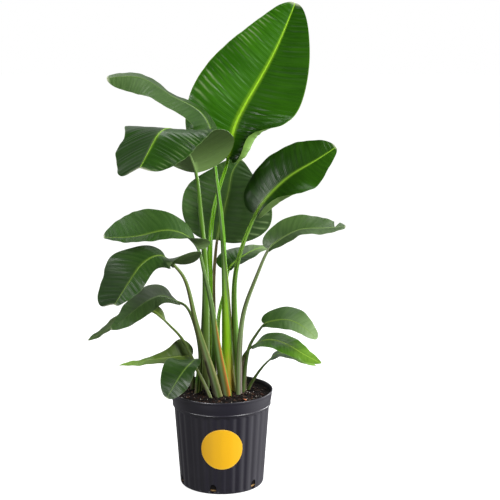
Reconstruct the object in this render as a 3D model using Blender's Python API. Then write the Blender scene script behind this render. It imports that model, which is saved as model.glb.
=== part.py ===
"""Potted bird of paradise: a fluted nursery pot, its soil, a round label and sixteen long-stalked leaves.

Units are metres and +Z is up. The origin is the centre of the pot's flat base, and the label faces -Y.
Each leaf is one closed sheet: a round stalk that flattens into a rib, with a thin blade on each side.
"""

from dataclasses import dataclass
from math import cos, pi, radians, sin

import bpy
import numpy as np

# ---- Driving sizes -------------------------------------------------------------------------------------

TOUCH_GAP = 0.0003              # clearance between pieces that rest on each other

POT_HEIGHT = 0.241
POT_RIM_RADIUS = 0.128
POT_BASE_RADIUS = 0.105
POT_WALL = 0.0026
POT_FLOOR = 0.005
POT_BEAD_HEIGHT = 0.205
POT_SHOULDER_RADIUS = 0.1195    # top of the fluted wall, just under the band
FLUTES = 30
FLUTE_DEPTH = 0.0014
FLUTE_SEGMENTS = 4
DRAIN_HOLES = 6
DRAIN_HOLE_WIDTH = 0.016
DRAIN_HOLE_HEIGHT = 0.010
DRAIN_HOLE_TURN = radians(-12)  # first hole, from the label's side

SOIL_LEVEL = 0.229
SOIL_LUMP = 0.0016
SOIL_SEGMENTS = 48
SOIL_RINGS = 6

LABEL_RADIUS = 0.052
LABEL_LEVEL = 0.119
LABEL_THICKNESS = 0.0004
LABEL_GAP = 0.0004              # over the crests, so that its flat facets stay clear of them
LABEL_SEGMENTS = 36
LABEL_RINGS = 6

ROOT_DEPTH = 0.030              # how far a stalk stands in its hole
HOLE_GAP = 0.0004
BLADE_THICKNESS = 0.0008
STALK_PITCH = 0.055             # between the sections of a stalk, within the limits below
STALK_ROWS = (4, 11)
BLADE_PITCH = 0.024             # between the vein rows of a blade, within the limits below
BLADE_ROWS = (8, 14)
BLADE_COLUMNS = (0.34, 0.70, 1.0)
LOBE_SPREAD = 0.45              # radians of the outline over which a lobe reaches back or forward
TIP_REACH = 0.5                 # length that the centre line runs on past the tip, over the blade's
CURL_STEPS = 24                 # straight steps that a curled vein row is laid out in

STALK_TAPER = 1.2               # power by which a stalk thins up to its blade
RIB_TAPER = 1.6                 # power by which a rib thins out to its tip
RIB_END = 0.17                  # share of a rib's width left at its tip
RIB_ONSET = 0.12                # share of the blade over which the stalk's section turns into the rib's

# The section of a stalk, across its half width: its channelled inner side and its round outer side.
STRIP = np.array([-1.0, -0.6, 0.0, 0.6, 1.0])
STALK_DEPTH = 1.05
STALK_INNER = np.array([0.12, 0.62, 0.35, 0.62, 0.12])
STALK_OUTER = np.array([-0.12, -0.80, -1.0, -0.80, -0.12])
RIB_INNER = np.array([0.0, 0.25, 0.08, 0.25, 0.0])
RIB_OUTER = np.array([0.0, -1.0, -1.3, -1.0, 0.0])


@dataclass(frozen=True)
class Leaf:
    """A leaf's course and blade. Pairs are the blade's left and right, seen from above, base to tip."""

    name: str
    stalk: tuple                # points from the soil to the blade
    rib: tuple                  # points from there to the tip
    reach: tuple                # widest reach of each half blade
    faces: tuple                # which way the upper side faces, from the base to the tip
    fold: tuple = ((0,), (0,))  # rise of each half blade at the rib, degrees, from the base to the tip
    curl: tuple = ((0,), (0,))  # further turn out to the margin, degrees, from the base to the tip
    late: tuple = (1.0, 1.0)    # above 1, the curl comes near the margin
    form: tuple = ((1,), (1,))  # share of the reach, from the base to the tip
    girth: tuple = (0.008, 0.003)   # half width of the stalk at the soil and at the blade
    clasp: tuple = (1, 0, 0)    # which way the stalk's channel faces at the soil
    blunt: float = 0.6          # 1 is a round tip, 0 a pointed one
    egg: float = 0.25           # how much wider the base half is
    heart: float = 0.03         # how far the base lobes reach back
    rake: float = 0.10          # how far the veins lean to the tip
    fore: tuple = (0.0, 0.0)    # how far each half blade reaches past the tip


LEAVES = (
    Leaf(
        "leaf_top",
        stalk=((-0.035, 0.070, 0.23), (-0.030, 0.070, 0.455), (-0.025, 0.075, 0.635),
               (-0.005, 0.080, 0.735), (0.018, 0.085, 0.810)),
        rib=((0.033, 0.090, 0.885), (0.088, 0.105, 0.990), (0.143, 0.125, 1.090), (0.188, 0.150, 1.195)),
        reach=(0.126, 0.115),
        faces=((0.05, -1, 0.1), (-0.05, -1, 0.1), (0, -1, 0.35)),
        fold=((8, 6, 10), (10, 5, 10)),
        curl=((-10, -20, -10), (150, 140, 50, 0, 0, 0, 0)),
        late=(1, 1.4),
        form=((1.05, 1.05, 1, 0.8), (1.25, 1.1, 1.03, 1.04, 1.0, 0.92, 0.85)),
        girth=(0.0110, 0.0042),
        blunt=1.1, egg=0.28, heart=0.03,
    ),
    Leaf(
        "leaf_high_left",
        stalk=((0.019, 0.014, 0.23), (0.015, 0.014, 0.365), (0.010, 0.015, 0.515), (0, 0.022, 0.680),
               (-0.015, 0.030, 0.805)),
        rib=((-0.020, 0.030, 0.870), (-0.050, 0.020, 0.932), (-0.120, 0, 0.973),
             (-0.187, -0.025, 1.015), (-0.270, -0.040, 1.015)),
        reach=(0.075, 0.055),
        faces=((0.5, -0.5, 0.5), (0.3, -0.35, 0.9), (0, -0.15, 0.9), (0, -0.3, 0.9)),
        fold=((-25, -20, -35, -35), (0, 0, 0, -3, 13, 3, 5)),
        form=((0.8, 0.78, 0.75, 0.63, 0.76, 1.1, 1.2), (0.4, 0.6, 1)),
        girth=(0.0125, 0.0044),
        clasp=(0.3, 1, 0),
        blunt=1.0,
    ),
    Leaf(
        "leaf_upper_left",
        stalk=((-0.045, 0.045, 0.23), (-0.040, 0.038, 0.405), (-0.040, 0.025, 0.555),
               (-0.050, 0.005, 0.692), (-0.060, -0.015, 0.787)),
        rib=((-0.077, -0.030, 0.842), (-0.106, -0.062, 0.893), (-0.138, -0.103, 0.895),
             (-0.163, -0.137, 0.858), (-0.186, -0.165, 0.815)),
        reach=(0.125, 0.125),
        faces=((0.5, 0.7, 0.5), (0.1, 0, 0.9), (-0.2, -0.6, 0.8), (-0.3, -0.85, 0.45)),
        fold=((40, 21, 0, 0), (0, -4, -17, -29)),
        form=((1, 1, 1, 1), (0.8, 1.0, 1.15, 1.12, 0.93, 1.2, 1.2)),
        fore=(0, 0.10),
        girth=(0.0125, 0.0042),
        clasp=(0.2, 1, 0),
        blunt=1.4, heart=0.0, rake=0.18,
    ),
    Leaf(
        "leaf_back",
        stalk=((-0.020, 0.090, 0.23), (-0.020, 0.095, 0.370), (-0.020, 0.100, 0.485),
               (-0.016, 0.105, 0.545), (-0.010, 0.110, 0.600)),
        rib=((0.003, 0.120, 0.660), (0.020, 0.140, 0.725), (0.030, 0.160, 0.770), (0.053, 0.180, 0.800)),
        reach=(0.106, 0.122),
        faces=((0, -1, 0.2), (0, -1, 0.3), (0, -1, 0.5)),
        form=((1, 1, 1, 1, 0.95, 0.6, 0.5), (1, 1, 1, 0.95, 0.85, 1.15, 1.0)),
        girth=(0.010, 0.0035),
        blunt=0.7, egg=0.20,
    ),
    Leaf(
        "leaf_upper_right",
        stalk=((0.038, 0.026, 0.23), (0.034, 0.018, 0.390), (0.036, 0.010, 0.535), (0.064, 0, 0.635),
               (0.085, -0.010, 0.685)),
        rib=((0.105, -0.015, 0.718), (0.163, -0.020, 0.776), (0.220, -0.020, 0.811),
             (0.280, -0.010, 0.848)),
        reach=(0.068, 0.064),
        faces=((-0.3, -0.9, 0.4), (-0.2, -0.9, 0.3), (-0.1, -0.9, 0.4)),
        fold=((5, 10, 10), (5, 10, 10)),
        curl=((-20, -20, 0), (150, 130, 80, 30, 0, 0, 0)),
        late=(1, 1.7),
        form=((1, 1, 1, 1.03, 1.1, 1.15, 1.15), (1.1, 1.1, 1.15, 1.14, 1.1, 0.85, 0.65)),
        girth=(0.0095, 0.0042),
        clasp=(-1, 0, 0),
        blunt=1.05,
    ),
    Leaf(
        "leaf_back_small",
        stalk=((-0.002, 0.066, 0.23), (-0.008, 0.068, 0.395), (0.008, 0.075, 0.475),
               (0.020, 0.085, 0.528)),
        rib=((0.034, 0.095, 0.545), (0.060, 0.105, 0.562), (0.098, 0.120, 0.577), (0.137, 0.130, 0.577)),
        reach=(0.055, 0.030),
        faces=((-0.4, -0.6, 0.5), (0, -0.3, 0.8), (0, -0.2, 0.9)),
        fold=((10, 0, 0), (30, 10, 0)),
        form=((1.2, 0.6, 0.4), (1,)),
        girth=(0.008, 0.0030),
    ),
    Leaf(
        "leaf_mid_right",
        stalk=((0.042, -0.008, 0.23), (0.046, -0.012, 0.370), (0.060, -0.022, 0.460),
               (0.086, -0.040, 0.535), (0.115, -0.055, 0.605)),
        rib=((0.135, -0.060, 0.625), (0.185, -0.075, 0.655), (0.240, -0.090, 0.662),
             (0.297, -0.100, 0.668)),
        reach=(0.050, 0.052),
        faces=((-0.4, -0.5, 0.7), (0, -0.3, 0.9), (0, -0.3, 0.9)),
        fold=((25, 20, 10), (0, 0, 0)),
        form=((0.93,), (0.3, 0.5, 0.6, 0.6, 0.7, 0.9, 1)),
        girth=(0.0090, 0.0034),
        clasp=(-1, 0, 0),
        blunt=0.8,
    ),
    Leaf(
        "leaf_mid_left",
        stalk=((0.013, -0.018, 0.23), (-0.010, -0.026, 0.365), (-0.025, -0.032, 0.470),
               (-0.042, -0.040, 0.550), (-0.055, -0.050, 0.605)),
        rib=((-0.077, -0.055, 0.635), (-0.128, -0.070, 0.655), (-0.195, -0.090, 0.645),
             (-0.278, -0.110, 0.645)),
        reach=(0.030, 0.060),
        faces=((0.3, 0.2, 0.8), (0, -0.35, 0.8), (0, -0.35, 0.8), (0, -0.35, 0.8)),
        fold=((65, 15, -5, -5, 0, 0, 0), (20, 15, 10)),
        form=((2.2, 1.0, 1, 1, 1, 1, 1), (0.5, 0.8, 0.88, 1.28, 1.5, 1.62, 1.3)),
        girth=(0.0120, 0.0036),
        blunt=1.0,
    ),
    Leaf(
        "leaf_waist_left",
        stalk=((-0.007, -0.030, 0.23), (-0.044, -0.039, 0.360), (-0.066, -0.050, 0.440),
               (-0.088, -0.070, 0.535), (-0.115, -0.085, 0.575)),
        rib=((-0.142, -0.090, 0.597), (-0.182, -0.115, 0.586), (-0.213, -0.140, 0.550),
             (-0.245, -0.155, 0.505)),
        reach=(0.075, 0.075),
        faces=((0.3, 0.5, 0.6), (-0.1, -0.5, 0.8), (-0.2, -0.7, 0.6), (-0.25, -0.8, 0.5),
               (-0.3, -0.9, 0.3)),
        form=((2.2, 1.1, 0.5, 0.5, 0.6, 0.7, 0.8), (0.25, 0.5, 0.7, 1.12, 1.3, 1.2, 1.2)),
        fold=((5, 5, 0, 0, 0, 0, 0), (0, 0, -15, -25)),
        fore=(0, 0.22),
        girth=(0.0100, 0.0035),
        blunt=1.4, heart=0.08,
    ),
    Leaf(
        "leaf_low_left",
        stalk=((-0.056, 0.022, 0.23), (-0.052, 0.008, 0.320), (-0.065, -0.010, 0.405),
               (-0.087, -0.030, 0.460), (-0.109, -0.045, 0.475)),
        rib=((-0.143, -0.060, 0.492), (-0.185, -0.080, 0.480), (-0.230, -0.095, 0.447),
             (-0.265, -0.100, 0.418)),
        reach=(0.045, 0.050),
        faces=((0.1, -0.2, 0.9), (-0.3, -0.4, 0.8), (-0.4, -0.5, 0.7)),
        fold=((-25, -25, -10), (0, 0, 0)),
        form=((0.3, 0.7, 1), (1.35, 1.3, 1.1, 1.0, 1, 1, 1)),
        girth=(0.0080, 0.0032),
    ),
    Leaf(
        "leaf_narrow_left",
        stalk=((-0.028, -0.042, 0.23), (-0.058, -0.024, 0.292), (-0.093, -0.022, 0.368),
               (-0.115, -0.040, 0.402), (-0.138, -0.055, 0.430)),
        rib=((-0.175, -0.050, 0.457), (-0.230, -0.050, 0.442), (-0.285, -0.050, 0.404),
             (-0.327, -0.050, 0.380)),
        reach=(0.030, 0.030),
        faces=((0.1, -0.2, 0.9), (-0.2, -0.3, 0.9), (-0.2, -0.4, 0.9)),
        form=((0.3, 0.3, 0.35, 0.6, 0.9), (1,)),
        girth=(0.006, 0.0028),
    ),
    Leaf(
        "leaf_base_left",
        stalk=((-0.074, 0.035, 0.23), (-0.072, 0.028, 0.265), (-0.071, 0.018, 0.298),
               (-0.076, 0.006, 0.320)),
        rib=((-0.105, -0.012, 0.327), (-0.175, -0.030, 0.324), (-0.253, -0.040, 0.313)),
        reach=(0.030, 0.030),
        faces=((0, -0.3, 1),),
        fold=((0,), (60, 60, 0, 0)),
        form=((0.7,), (1.7, 1.4, 1.15, 0.6, 0.5, 0.5, 0.5)),
        girth=(0.007, 0.0025),
    ),
    Leaf(
        "leaf_front_left",
        stalk=((-0.062, 0, 0.23), (-0.060, -0.008, 0.275), (-0.058, -0.016, 0.315)),
        rib=((-0.062, -0.038, 0.328), (-0.072, -0.066, 0.328), (-0.090, -0.088, 0.314),
             (-0.110, -0.103, 0.288), (-0.133, -0.112, 0.250)),
        reach=(0.045, 0.050),
        faces=((0.2, 1, 0.4), (0, 0.1, 1), (-0.1, -0.6, 0.8), (-0.1, -0.9, 0.4), (-0.1, -1, 0.2)),
        form=((0.15, 0.25, 0.42, 0.58, 0.8, 0.95, 1), (0.1, 0.3, 0.7, 1.1, 1.1, 1.1, 1.1)),
        girth=(0.006, 0.0028),
        blunt=1.0, heart=0.0, rake=0.05,
    ),
    Leaf(
        "leaf_low_right",
        stalk=((0.055, 0.012, 0.23), (0.058, 0.006, 0.285), (0.070, -0.018, 0.355),
               (0.088, -0.030, 0.390), (0.105, -0.040, 0.415)),
        rib=((0.122, -0.050, 0.425), (0.162, -0.070, 0.433), (0.200, -0.085, 0.418),
             (0.232, -0.090, 0.390)),
        reach=(0.042, 0.030),
        faces=((-0.2, -0.5, 0.7), (0.1, -0.6, 0.8), (0.4, -0.6, 0.6)),
        form=((1,), (0.5, 0.8, 1, 1, 1)),
        girth=(0.007, 0.0026),
        clasp=(-1, 0, 0),
        blunt=1.0,
    ),
    Leaf(
        "leaf_base_right",
        stalk=((0.048, 0.050, 0.23), (0.050, 0.034, 0.285), (0.060, 0.010, 0.330),
               (0.080, -0.005, 0.352)),
        rib=((0.108, -0.020, 0.370), (0.153, -0.040, 0.368), (0.200, -0.060, 0.345),
             (0.245, -0.070, 0.323)),
        reach=(0.030, 0.030),
        faces=((-0.1, -0.2, 0.9), (0.1, -0.5, 0.8), (0.3, -0.6, 0.6)),
        girth=(0.007, 0.0026),
        clasp=(-1, 0, 0),
    ),
    Leaf(
        "leaf_small_right",
        stalk=((0.068, 0.028, 0.23), (0.080, 0.020, 0.257), (0.100, 0.010, 0.290), (0.123, 0, 0.317)),
        rib=((0.145, 0, 0.330), (0.180, -0.010, 0.327), (0.213, -0.020, 0.315), (0.235, -0.030, 0.305)),
        reach=(0.025, 0.025),
        faces=((0, 0, 1), (0, -0.1, 1), (0.2, -0.2, 1)),
        girth=(0.005, 0.0024),
        clasp=(-1, 0, 0),
    ),
)


# ---- Curves and frames ---------------------------------------------------------------------------------

def unit(vectors):
    """The same vectors at length 1."""
    vectors = np.asarray(vectors, float)
    return vectors / np.linalg.norm(vectors, axis=-1, keepdims=True)


def between(knots, share):
    """A smooth course through evenly spaced knots, read at shares from 0 to 1."""
    knots = np.asarray(knots, float)
    share = np.asarray(share, float)
    if len(knots) == 1:
        return np.broadcast_to(knots[0], share.shape + knots.shape[1:])
    place = np.clip(share, 0, 1) * (len(knots) - 1)
    first = np.clip(place.astype(int), 0, len(knots) - 2)
    part = (place - first).reshape(share.shape + (1,) * (knots.ndim - 1))
    slope = np.gradient(knots, axis=0)
    return ((2 * part**3 - 3 * part**2 + 1) * knots[first]
            + (part**3 - 2 * part**2 + part) * slope[first]
            + (3 * part**2 - 2 * part**3) * knots[first + 1]
            + (part**3 - part**2) * slope[first + 1])


def flowing_curve(points, samples=400):
    """A natural cubic spline through points: dense points, their lengths, and the lengths at the points."""
    points = np.asarray(points, float)
    count = len(points)
    knots = np.concatenate([[0], np.cumsum(np.sqrt(np.linalg.norm(np.diff(points, axis=0), axis=1)))])
    gaps = np.diff(knots)
    matrix = np.eye(count)
    right = np.zeros_like(points)
    for k in range(1, count - 1):
        matrix[k, k - 1:k + 2] = gaps[k - 1], 2 * (gaps[k - 1] + gaps[k]), gaps[k]
        right[k] = 6 * ((points[k + 1] - points[k]) / gaps[k] - (points[k] - points[k - 1]) / gaps[k - 1])
    bend = np.linalg.solve(matrix, right)
    place = np.linspace(0, knots[-1], samples)
    k = np.clip(np.searchsorted(knots, place, side="right") - 1, 0, count - 2)
    gap = gaps[k][:, None]
    after = (place - knots[k])[:, None]
    before = (knots[k + 1] - place)[:, None]
    curve = ((bend[k] * before**3 + bend[k + 1] * after**3) / (6 * gap)
             + (points[k] / gap - bend[k] * gap / 6) * before
             + (points[k + 1] / gap - bend[k + 1] * gap / 6) * after)
    length = np.concatenate([[0], np.cumsum(np.linalg.norm(np.diff(curve, axis=0), axis=1))])
    return curve, length, np.interp(knots, place, length)


class Spine:
    """A leaf's centre line, from its root to its tip, with the way that its upper side faces."""

    def __init__(self, leaf):
        self.leaf = leaf
        foot = np.array(leaf.stalk[0], float)
        rise = unit(unit(np.array(leaf.stalk[1]) - foot) + np.array((0, 0, 1.0)))
        course = [foot - rise * ROOT_DEPTH, *leaf.stalk, *leaf.rib]
        self.curve, self.lengths, marks = flowing_curve(course)
        self.foot = marks[1]
        self.neck = marks[len(leaf.stalk)]
        self.blade = marks[-1] - self.neck
        self.headings = unit(np.gradient(self.curve, self.lengths, axis=0))
        beyond = self.blade * TIP_REACH
        self.curve = np.vstack([self.curve, self.curve[-1] + self.headings[-1] * beyond])
        self.lengths = np.append(self.lengths, self.lengths[-1] + beyond)
        self.headings = np.vstack([self.headings, self.headings[-1]])
        self.inward = unit(leaf.clasp)

    def read(self, values, length):
        """Values given along the curve, read at other lengths."""
        return np.stack([np.interp(length, self.lengths, values[:, axis]) for axis in range(3)], -1)

    def share(self, length):
        """How far along the blade a length lies, from 0 at the neck to 1 at the tip."""
        return (length - self.neck) / self.blade

    def climb(self, length):
        """How far up the stalk a length lies, from 0 at the soil to 1 at the neck."""
        return np.clip((length - self.foot) / (self.neck - self.foot), 0, 1)

    def frames(self, length):
        """Centre, right-hand direction and upper direction at each length."""
        length = np.asarray(length, float)
        centre = self.read(self.curve, length)
        heading = unit(self.read(self.headings, length))
        faces = unit(self.leaf.faces)
        turn = self.climb(length)[..., None]
        turn = turn * turn * (3 - 2 * turn)
        on_blade = between(faces, self.share(length))
        on_stalk = self.inward * (1 - turn) + faces[0] * turn
        facing = np.where(self.share(length)[..., None] < 0, on_stalk, on_blade)
        upper = unit(facing - (facing * heading).sum(-1, keepdims=True) * heading)
        return centre, np.cross(heading, upper), upper

    def stalk_stations(self):
        """Lengths of the stalk's sections, from the root's end to just before the neck."""
        count = int(np.clip((self.neck - self.foot) / STALK_PITCH, *STALK_ROWS))
        return np.concatenate([[0], np.linspace(self.foot, self.neck, count + 1)[:-1]])

    def vein_rows(self):
        """Where the vein rows stand, as shares of the blade's outline."""
        return np.linspace(0.03, 0.985, int(np.clip(self.blade / BLADE_PITCH, *BLADE_ROWS)))

    def girth(self, length):
        """Half width of the stalk or rib."""
        foot, neck = self.leaf.girth
        stalk = neck + (foot - neck) * (1 - self.climb(length)) ** STALK_TAPER
        rib = neck * (RIB_END + (1 - RIB_END) * (1 - np.clip(self.share(length), 0, 1)) ** RIB_TAPER)
        return np.where(length > self.neck, rib, stalk)


# ---- Leaf mesh -----------------------------------------------------------------------------------------

def strip_rows(spine, length):
    """Upper and lower points of the stalk and rib at each length."""
    centre, right, upper = spine.frames(length)
    girth = spine.girth(length)[:, None]
    depth = girth * STALK_DEPTH
    onto_rib = np.clip(spine.share(length)[:, None] / RIB_ONSET, 0, 1)
    half = BLADE_THICKNESS / 2
    rise = depth * STALK_INNER * (1 - onto_rib) + (half + girth * RIB_INNER) * onto_rib
    drop = depth * STALK_OUTER * (1 - onto_rib) + (girth * RIB_OUTER - half) * onto_rib
    across = centre[:, None] + right[:, None] * (girth * STRIP)[..., None]
    return across + upper[:, None] * rise[..., None], across + upper[:, None] * drop[..., None]


def wing_rows(spine, side, rows, columns):
    """Middle points of one half blade (0 left, 1 right), a row for each vein line from the rib out."""
    leaf = spine.leaf
    angle = pi * np.asarray(rows, float)
    margin = (1 - np.cos(angle)) / 2
    taper = 1 + (1 - leaf.blunt) * margin
    breadth = np.sin(angle) ** taper * (1 + leaf.egg * np.cos(angle))
    lobe = angle / LOBE_SPREAD
    margin = margin - leaf.heart * lobe * np.exp(1 - lobe)
    lobe = (pi - angle) / LOBE_SPREAD
    margin = margin + leaf.fore[side] * lobe * np.exp(1 - lobe)
    rib = rib_shares(leaf, rows)
    out = np.asarray(columns, float)
    share = rib[:, None] + (margin - rib)[:, None] * out**1.25
    reach = leaf.reach[side] * breadth * between(leaf.form[side], margin)
    distance = np.maximum(reach, 0.0006)[:, None] * out
    fold = np.radians(between(leaf.fold[side], share))
    curl = np.radians(between(leaf.curl[side], share))
    along = np.zeros_like(distance)
    height = np.zeros_like(distance)
    for step in range(CURL_STEPS):
        turn = fold + curl * (out * (step + 0.5) / CURL_STEPS) ** leaf.late[side]
        along += np.cos(turn) * distance / CURL_STEPS
        height += np.sin(turn) * distance / CURL_STEPS
    length = spine.neck + share * spine.blade
    centre, right, upper = spine.frames(length)
    sign = 1 if side else -1
    turn = (fold + curl * out ** leaf.late[side])[..., None]
    points = centre + right * (sign * (spine.girth(length) + along))[..., None] + upper * height[..., None]
    return points, upper * np.cos(turn) - right * (sign * np.sin(turn))


def rib_shares(leaf, rows):
    """Where each vein row leaves the rib, as a share of the blade."""
    margin = (1 - np.cos(pi * np.asarray(rows, float))) / 2
    return np.maximum(margin - leaf.rake * np.sin(pi * margin), 0)


def leaf_mesh(leaf):
    """Vertices and triangles of a leaf as one closed solid."""
    spine = Spine(leaf)
    rows = spine.vein_rows()
    on_stalk = spine.stalk_stations()
    on_rib = spine.neck + rib_shares(leaf, rows) * spine.blade
    on_rib[0] = spine.neck
    upper, lower = strip_rows(spine, np.concatenate([on_stalk, on_rib]))
    left, left_up = wing_rows(spine, 0, rows, BLADE_COLUMNS)
    right, right_up = wing_rows(spine, 1, rows, BLADE_COLUMNS)
    half = BLADE_THICKNESS / 2
    first = len(on_stalk)
    wide = len(BLADE_COLUMNS)
    blank = np.zeros((first, wide, 3))
    middle = np.concatenate([left[:, ::-1], (upper[first:] + lower[first:]) / 2, right], 1)
    facing = np.concatenate([left_up[:, ::-1], upper[first:] - lower[first:], right_up], 1)
    normal = np.cross(np.gradient(middle, axis=1), np.gradient(middle, axis=0))
    normal = unit(normal + 1e-12) * np.sign((normal * facing).sum(-1, keepdims=True))
    above = middle + normal * half
    below = middle - normal * half
    sides = (slice(0, wide), slice(wide + len(STRIP), None))
    top = np.concatenate([np.concatenate([blank, above[:, sides[0]]]), upper,
                          np.concatenate([blank, above[:, sides[1]]])], 1)
    bottom = np.concatenate([np.concatenate([blank, below[:, sides[0]]]), lower,
                             np.concatenate([blank, below[:, sides[1]]])], 1)
    present = np.ones((top.shape[0] - 1, top.shape[1] - 1), bool)
    present[:first, :wide] = False
    present[:first, wide + len(STRIP) - 1:] = False
    return sheet_solid(top, bottom, present)


def sheet_solid(top, bottom, present):
    """Two grids of points joined into a closed solid where a cell is present, split alike on both faces."""
    shape = top.shape[:2]
    layer = shape[0] * shape[1]
    number = np.arange(layer).reshape(shape)
    faces = []
    edges = set()
    for row, column in zip(*np.nonzero(present)):
        corners = [number[row, column], number[row, column + 1],
                   number[row + 1, column + 1], number[row + 1, column]]
        for triangle in (corners[:3], [corners[0], corners[2], corners[3]]):
            faces.append(triangle)
            faces.append([layer + corner for corner in reversed(triangle)])
        edges.update(zip(corners, corners[1:] + corners[:1]))
    for start, end in sorted(edges):
        if (end, start) not in edges:
            faces.append([end, start, layer + start])
            faces.append([end, layer + start, layer + end])
    points = np.concatenate([top.reshape(-1, 3), bottom.reshape(-1, 3)])
    return tidy_solid(points, np.array(faces))


def tidy_solid(points, faces):
    """The points that the faces use, and the faces turned so that the solid is right side out."""
    used, faces = np.unique(faces, return_inverse=True)
    points = points[used]
    faces = faces.reshape(-1, 3)
    corners = points[faces]
    volume = (corners[:, 0] * np.cross(corners[:, 1], corners[:, 2])).sum()
    return points, faces if volume > 0 else faces[:, ::-1]


def hole_mesh(leaf):
    """The hole that a stalk stands in: its section, a little larger, from its end to over the soil."""
    spine = Spine(leaf)
    length = spine.stalk_stations()[:3]
    centre, right, upper = spine.frames(length)
    heading = np.cross(upper, right)
    girth = spine.girth(length)[:, None]
    depth = girth * STALK_DEPTH
    across = np.concatenate([STRIP, STRIP[::-1]])
    height = np.concatenate([STALK_INNER, STALK_OUTER[::-1]])
    outward = unit(np.stack([across * 0.7, height], 1)) * HOLE_GAP * 1.3
    rings = (centre[:, None] + right[:, None] * (girth * across + outward[:, 0])[..., None]
             + upper[:, None] * (depth * height + outward[:, 1])[..., None])
    rings[0] -= heading[0] * HOLE_GAP
    count = len(across)
    faces = []
    for row in range(2):
        for k in range(count):
            a, b = row * count + k, row * count + (k + 1) % count
            faces += [[a, b, b + count], [a, b + count, a + count]]
    for k in range(1, count - 1):
        faces += [[0, k + 1, k], [2 * count, 2 * count + k, 2 * count + k + 1]]
    return tidy_solid(rings.reshape(-1, 3), np.array(faces))


# ---- Pot, soil and label -------------------------------------------------------------------------------

def wall_radius(height):
    """Radius over the crests of the fluted wall."""
    return POT_BASE_RADIUS + (POT_SHOULDER_RADIUS - POT_BASE_RADIUS) * height / (POT_BEAD_HEIGHT - 0.004)


def revolve(profile, segments, shape):
    """A closed solid turned about Z from (radius, height, flute share) points, from axis to axis."""
    rings = [[(0, 0, profile[0][1])]]
    for radius, height, share in profile[1:-1]:
        turns = [2 * pi * k / segments for k in range(segments)]
        rings.append([(shape(radius, share, a) * sin(a), -shape(radius, share, a) * cos(a), height)
                      for a in turns])
    rings.append([(0, 0, profile[-1][1])])
    starts = np.cumsum([0] + [len(ring) for ring in rings])
    faces = []
    for row in range(len(rings) - 1):
        for k in range(segments):
            following = (k + 1) % segments
            low, high = starts[row], starts[row + 1]
            if len(rings[row]) == 1:
                faces.append([low, high + k, high + following])
            elif len(rings[row + 1]) == 1:
                faces.append([low + k, high, low + following])
            else:
                faces.append([low + k, high + k, high + following])
                faces.append([low + k, high + following, low + following])
    return tidy_solid(np.array([point for ring in rings for point in ring], float), np.array(faces))


def fluted(radius, share, angle):
    """A radius drawn in between the flutes' rounded crests."""
    return radius - share * FLUTE_DEPTH * (0.5 - 0.5 * cos(FLUTES * angle))


def pot_mesh():
    """The pot: a pad and foot ring, a fluted wall, a bead, and a plain band with a small lip."""
    foot = POT_BASE_RADIUS
    bead = POT_SHOULDER_RADIUS + 0.0040
    rim = POT_RIM_RADIUS
    top = POT_HEIGHT
    fade = POT_BEAD_HEIGHT - 0.007
    profile = [
        (0, 0, 0), (0.030, 0, 0), (0.033, 0.003, 0), (foot - 0.013, 0.003, 0), (foot - 0.010, 0, 0),
        (foot - 0.005, 0, 0), (foot - 0.001, 0.002, 0.3), (wall_radius(0.007), 0.007, 1),
        (wall_radius(fade), fade, 1), (POT_SHOULDER_RADIUS + 0.0004, POT_BEAD_HEIGHT - 0.003, 0),
        (bead, POT_BEAD_HEIGHT - 0.001, 0), (bead, POT_BEAD_HEIGHT + 0.001, 0),
        (bead - 0.0006, POT_BEAD_HEIGHT + 0.004, 0), (rim - 0.0012, top - 0.006, 0), (rim, top - 0.004, 0),
        (rim, top - 0.001, 0), (rim - 0.001, top, 0), (rim - POT_WALL, top, 0),
        (rim - POT_WALL - 0.0008, top - 0.006, 0),
        (POT_SHOULDER_RADIUS - POT_WALL, POT_BEAD_HEIGHT - 0.004, 0),
        (foot - POT_WALL, POT_FLOOR + 0.003, 0), (foot - POT_WALL - 0.003, POT_FLOOR, 0),
        (0, POT_FLOOR, 0),
    ]
    return revolve(profile, FLUTES * FLUTE_SEGMENTS, fluted)


def soil_height(radius, angle):
    """The lumpy top of the soil, from a few crossing waves."""
    x, y = radius * sin(angle), -radius * cos(angle)
    wave = sin(140 * x + 1.1) * sin(120 * y + 0.4)
    wave += 0.6 * sin(230 * x - 170 * y) + 0.4 * sin(310 * y + 90 * x)
    return SOIL_LEVEL + SOIL_LUMP * wave * min(1.0, (1 - radius / POT_RIM_RADIUS) * 8)


def soil_mesh():
    """The soil: it fills the pot from the floor to just under the rim."""
    floor = POT_FLOOR + TOUCH_GAP
    corner = POT_BASE_RADIUS - POT_WALL - 0.003 - TOUCH_GAP
    side = POT_BASE_RADIUS - POT_WALL - TOUCH_GAP * 1.5
    band = POT_SHOULDER_RADIUS - POT_WALL - TOUCH_GAP * 1.5
    lip = POT_RIM_RADIUS - POT_WALL - 0.0008
    slope = (lip - band) / (POT_HEIGHT - 0.006 - POT_BEAD_HEIGHT + 0.004)
    brim = band + slope * (SOIL_LEVEL - POT_BEAD_HEIGHT + 0.004) - TOUCH_GAP * 2
    profile = [(0, floor, 0), (corner, floor, 0), (side, POT_FLOOR + 0.003 + TOUCH_GAP, 0),
               (band, POT_BEAD_HEIGHT - 0.004, 0)]
    profile += [(brim * ring / SOIL_RINGS, SOIL_LEVEL, 0) for ring in range(SOIL_RINGS, 0, -1)]
    profile.append((0, SOIL_LEVEL, 0))
    points, faces = revolve(profile, SOIL_SEGMENTS, lambda radius, share, angle: radius)
    top = points[:, 2] > POT_BEAD_HEIGHT
    radii = np.hypot(points[top, 0], points[top, 1])
    angles = np.arctan2(points[top, 0], -points[top, 1])
    points[top, 2] = [soil_height(radius, angle) for radius, angle in zip(radii, angles)]
    return points, faces


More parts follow.
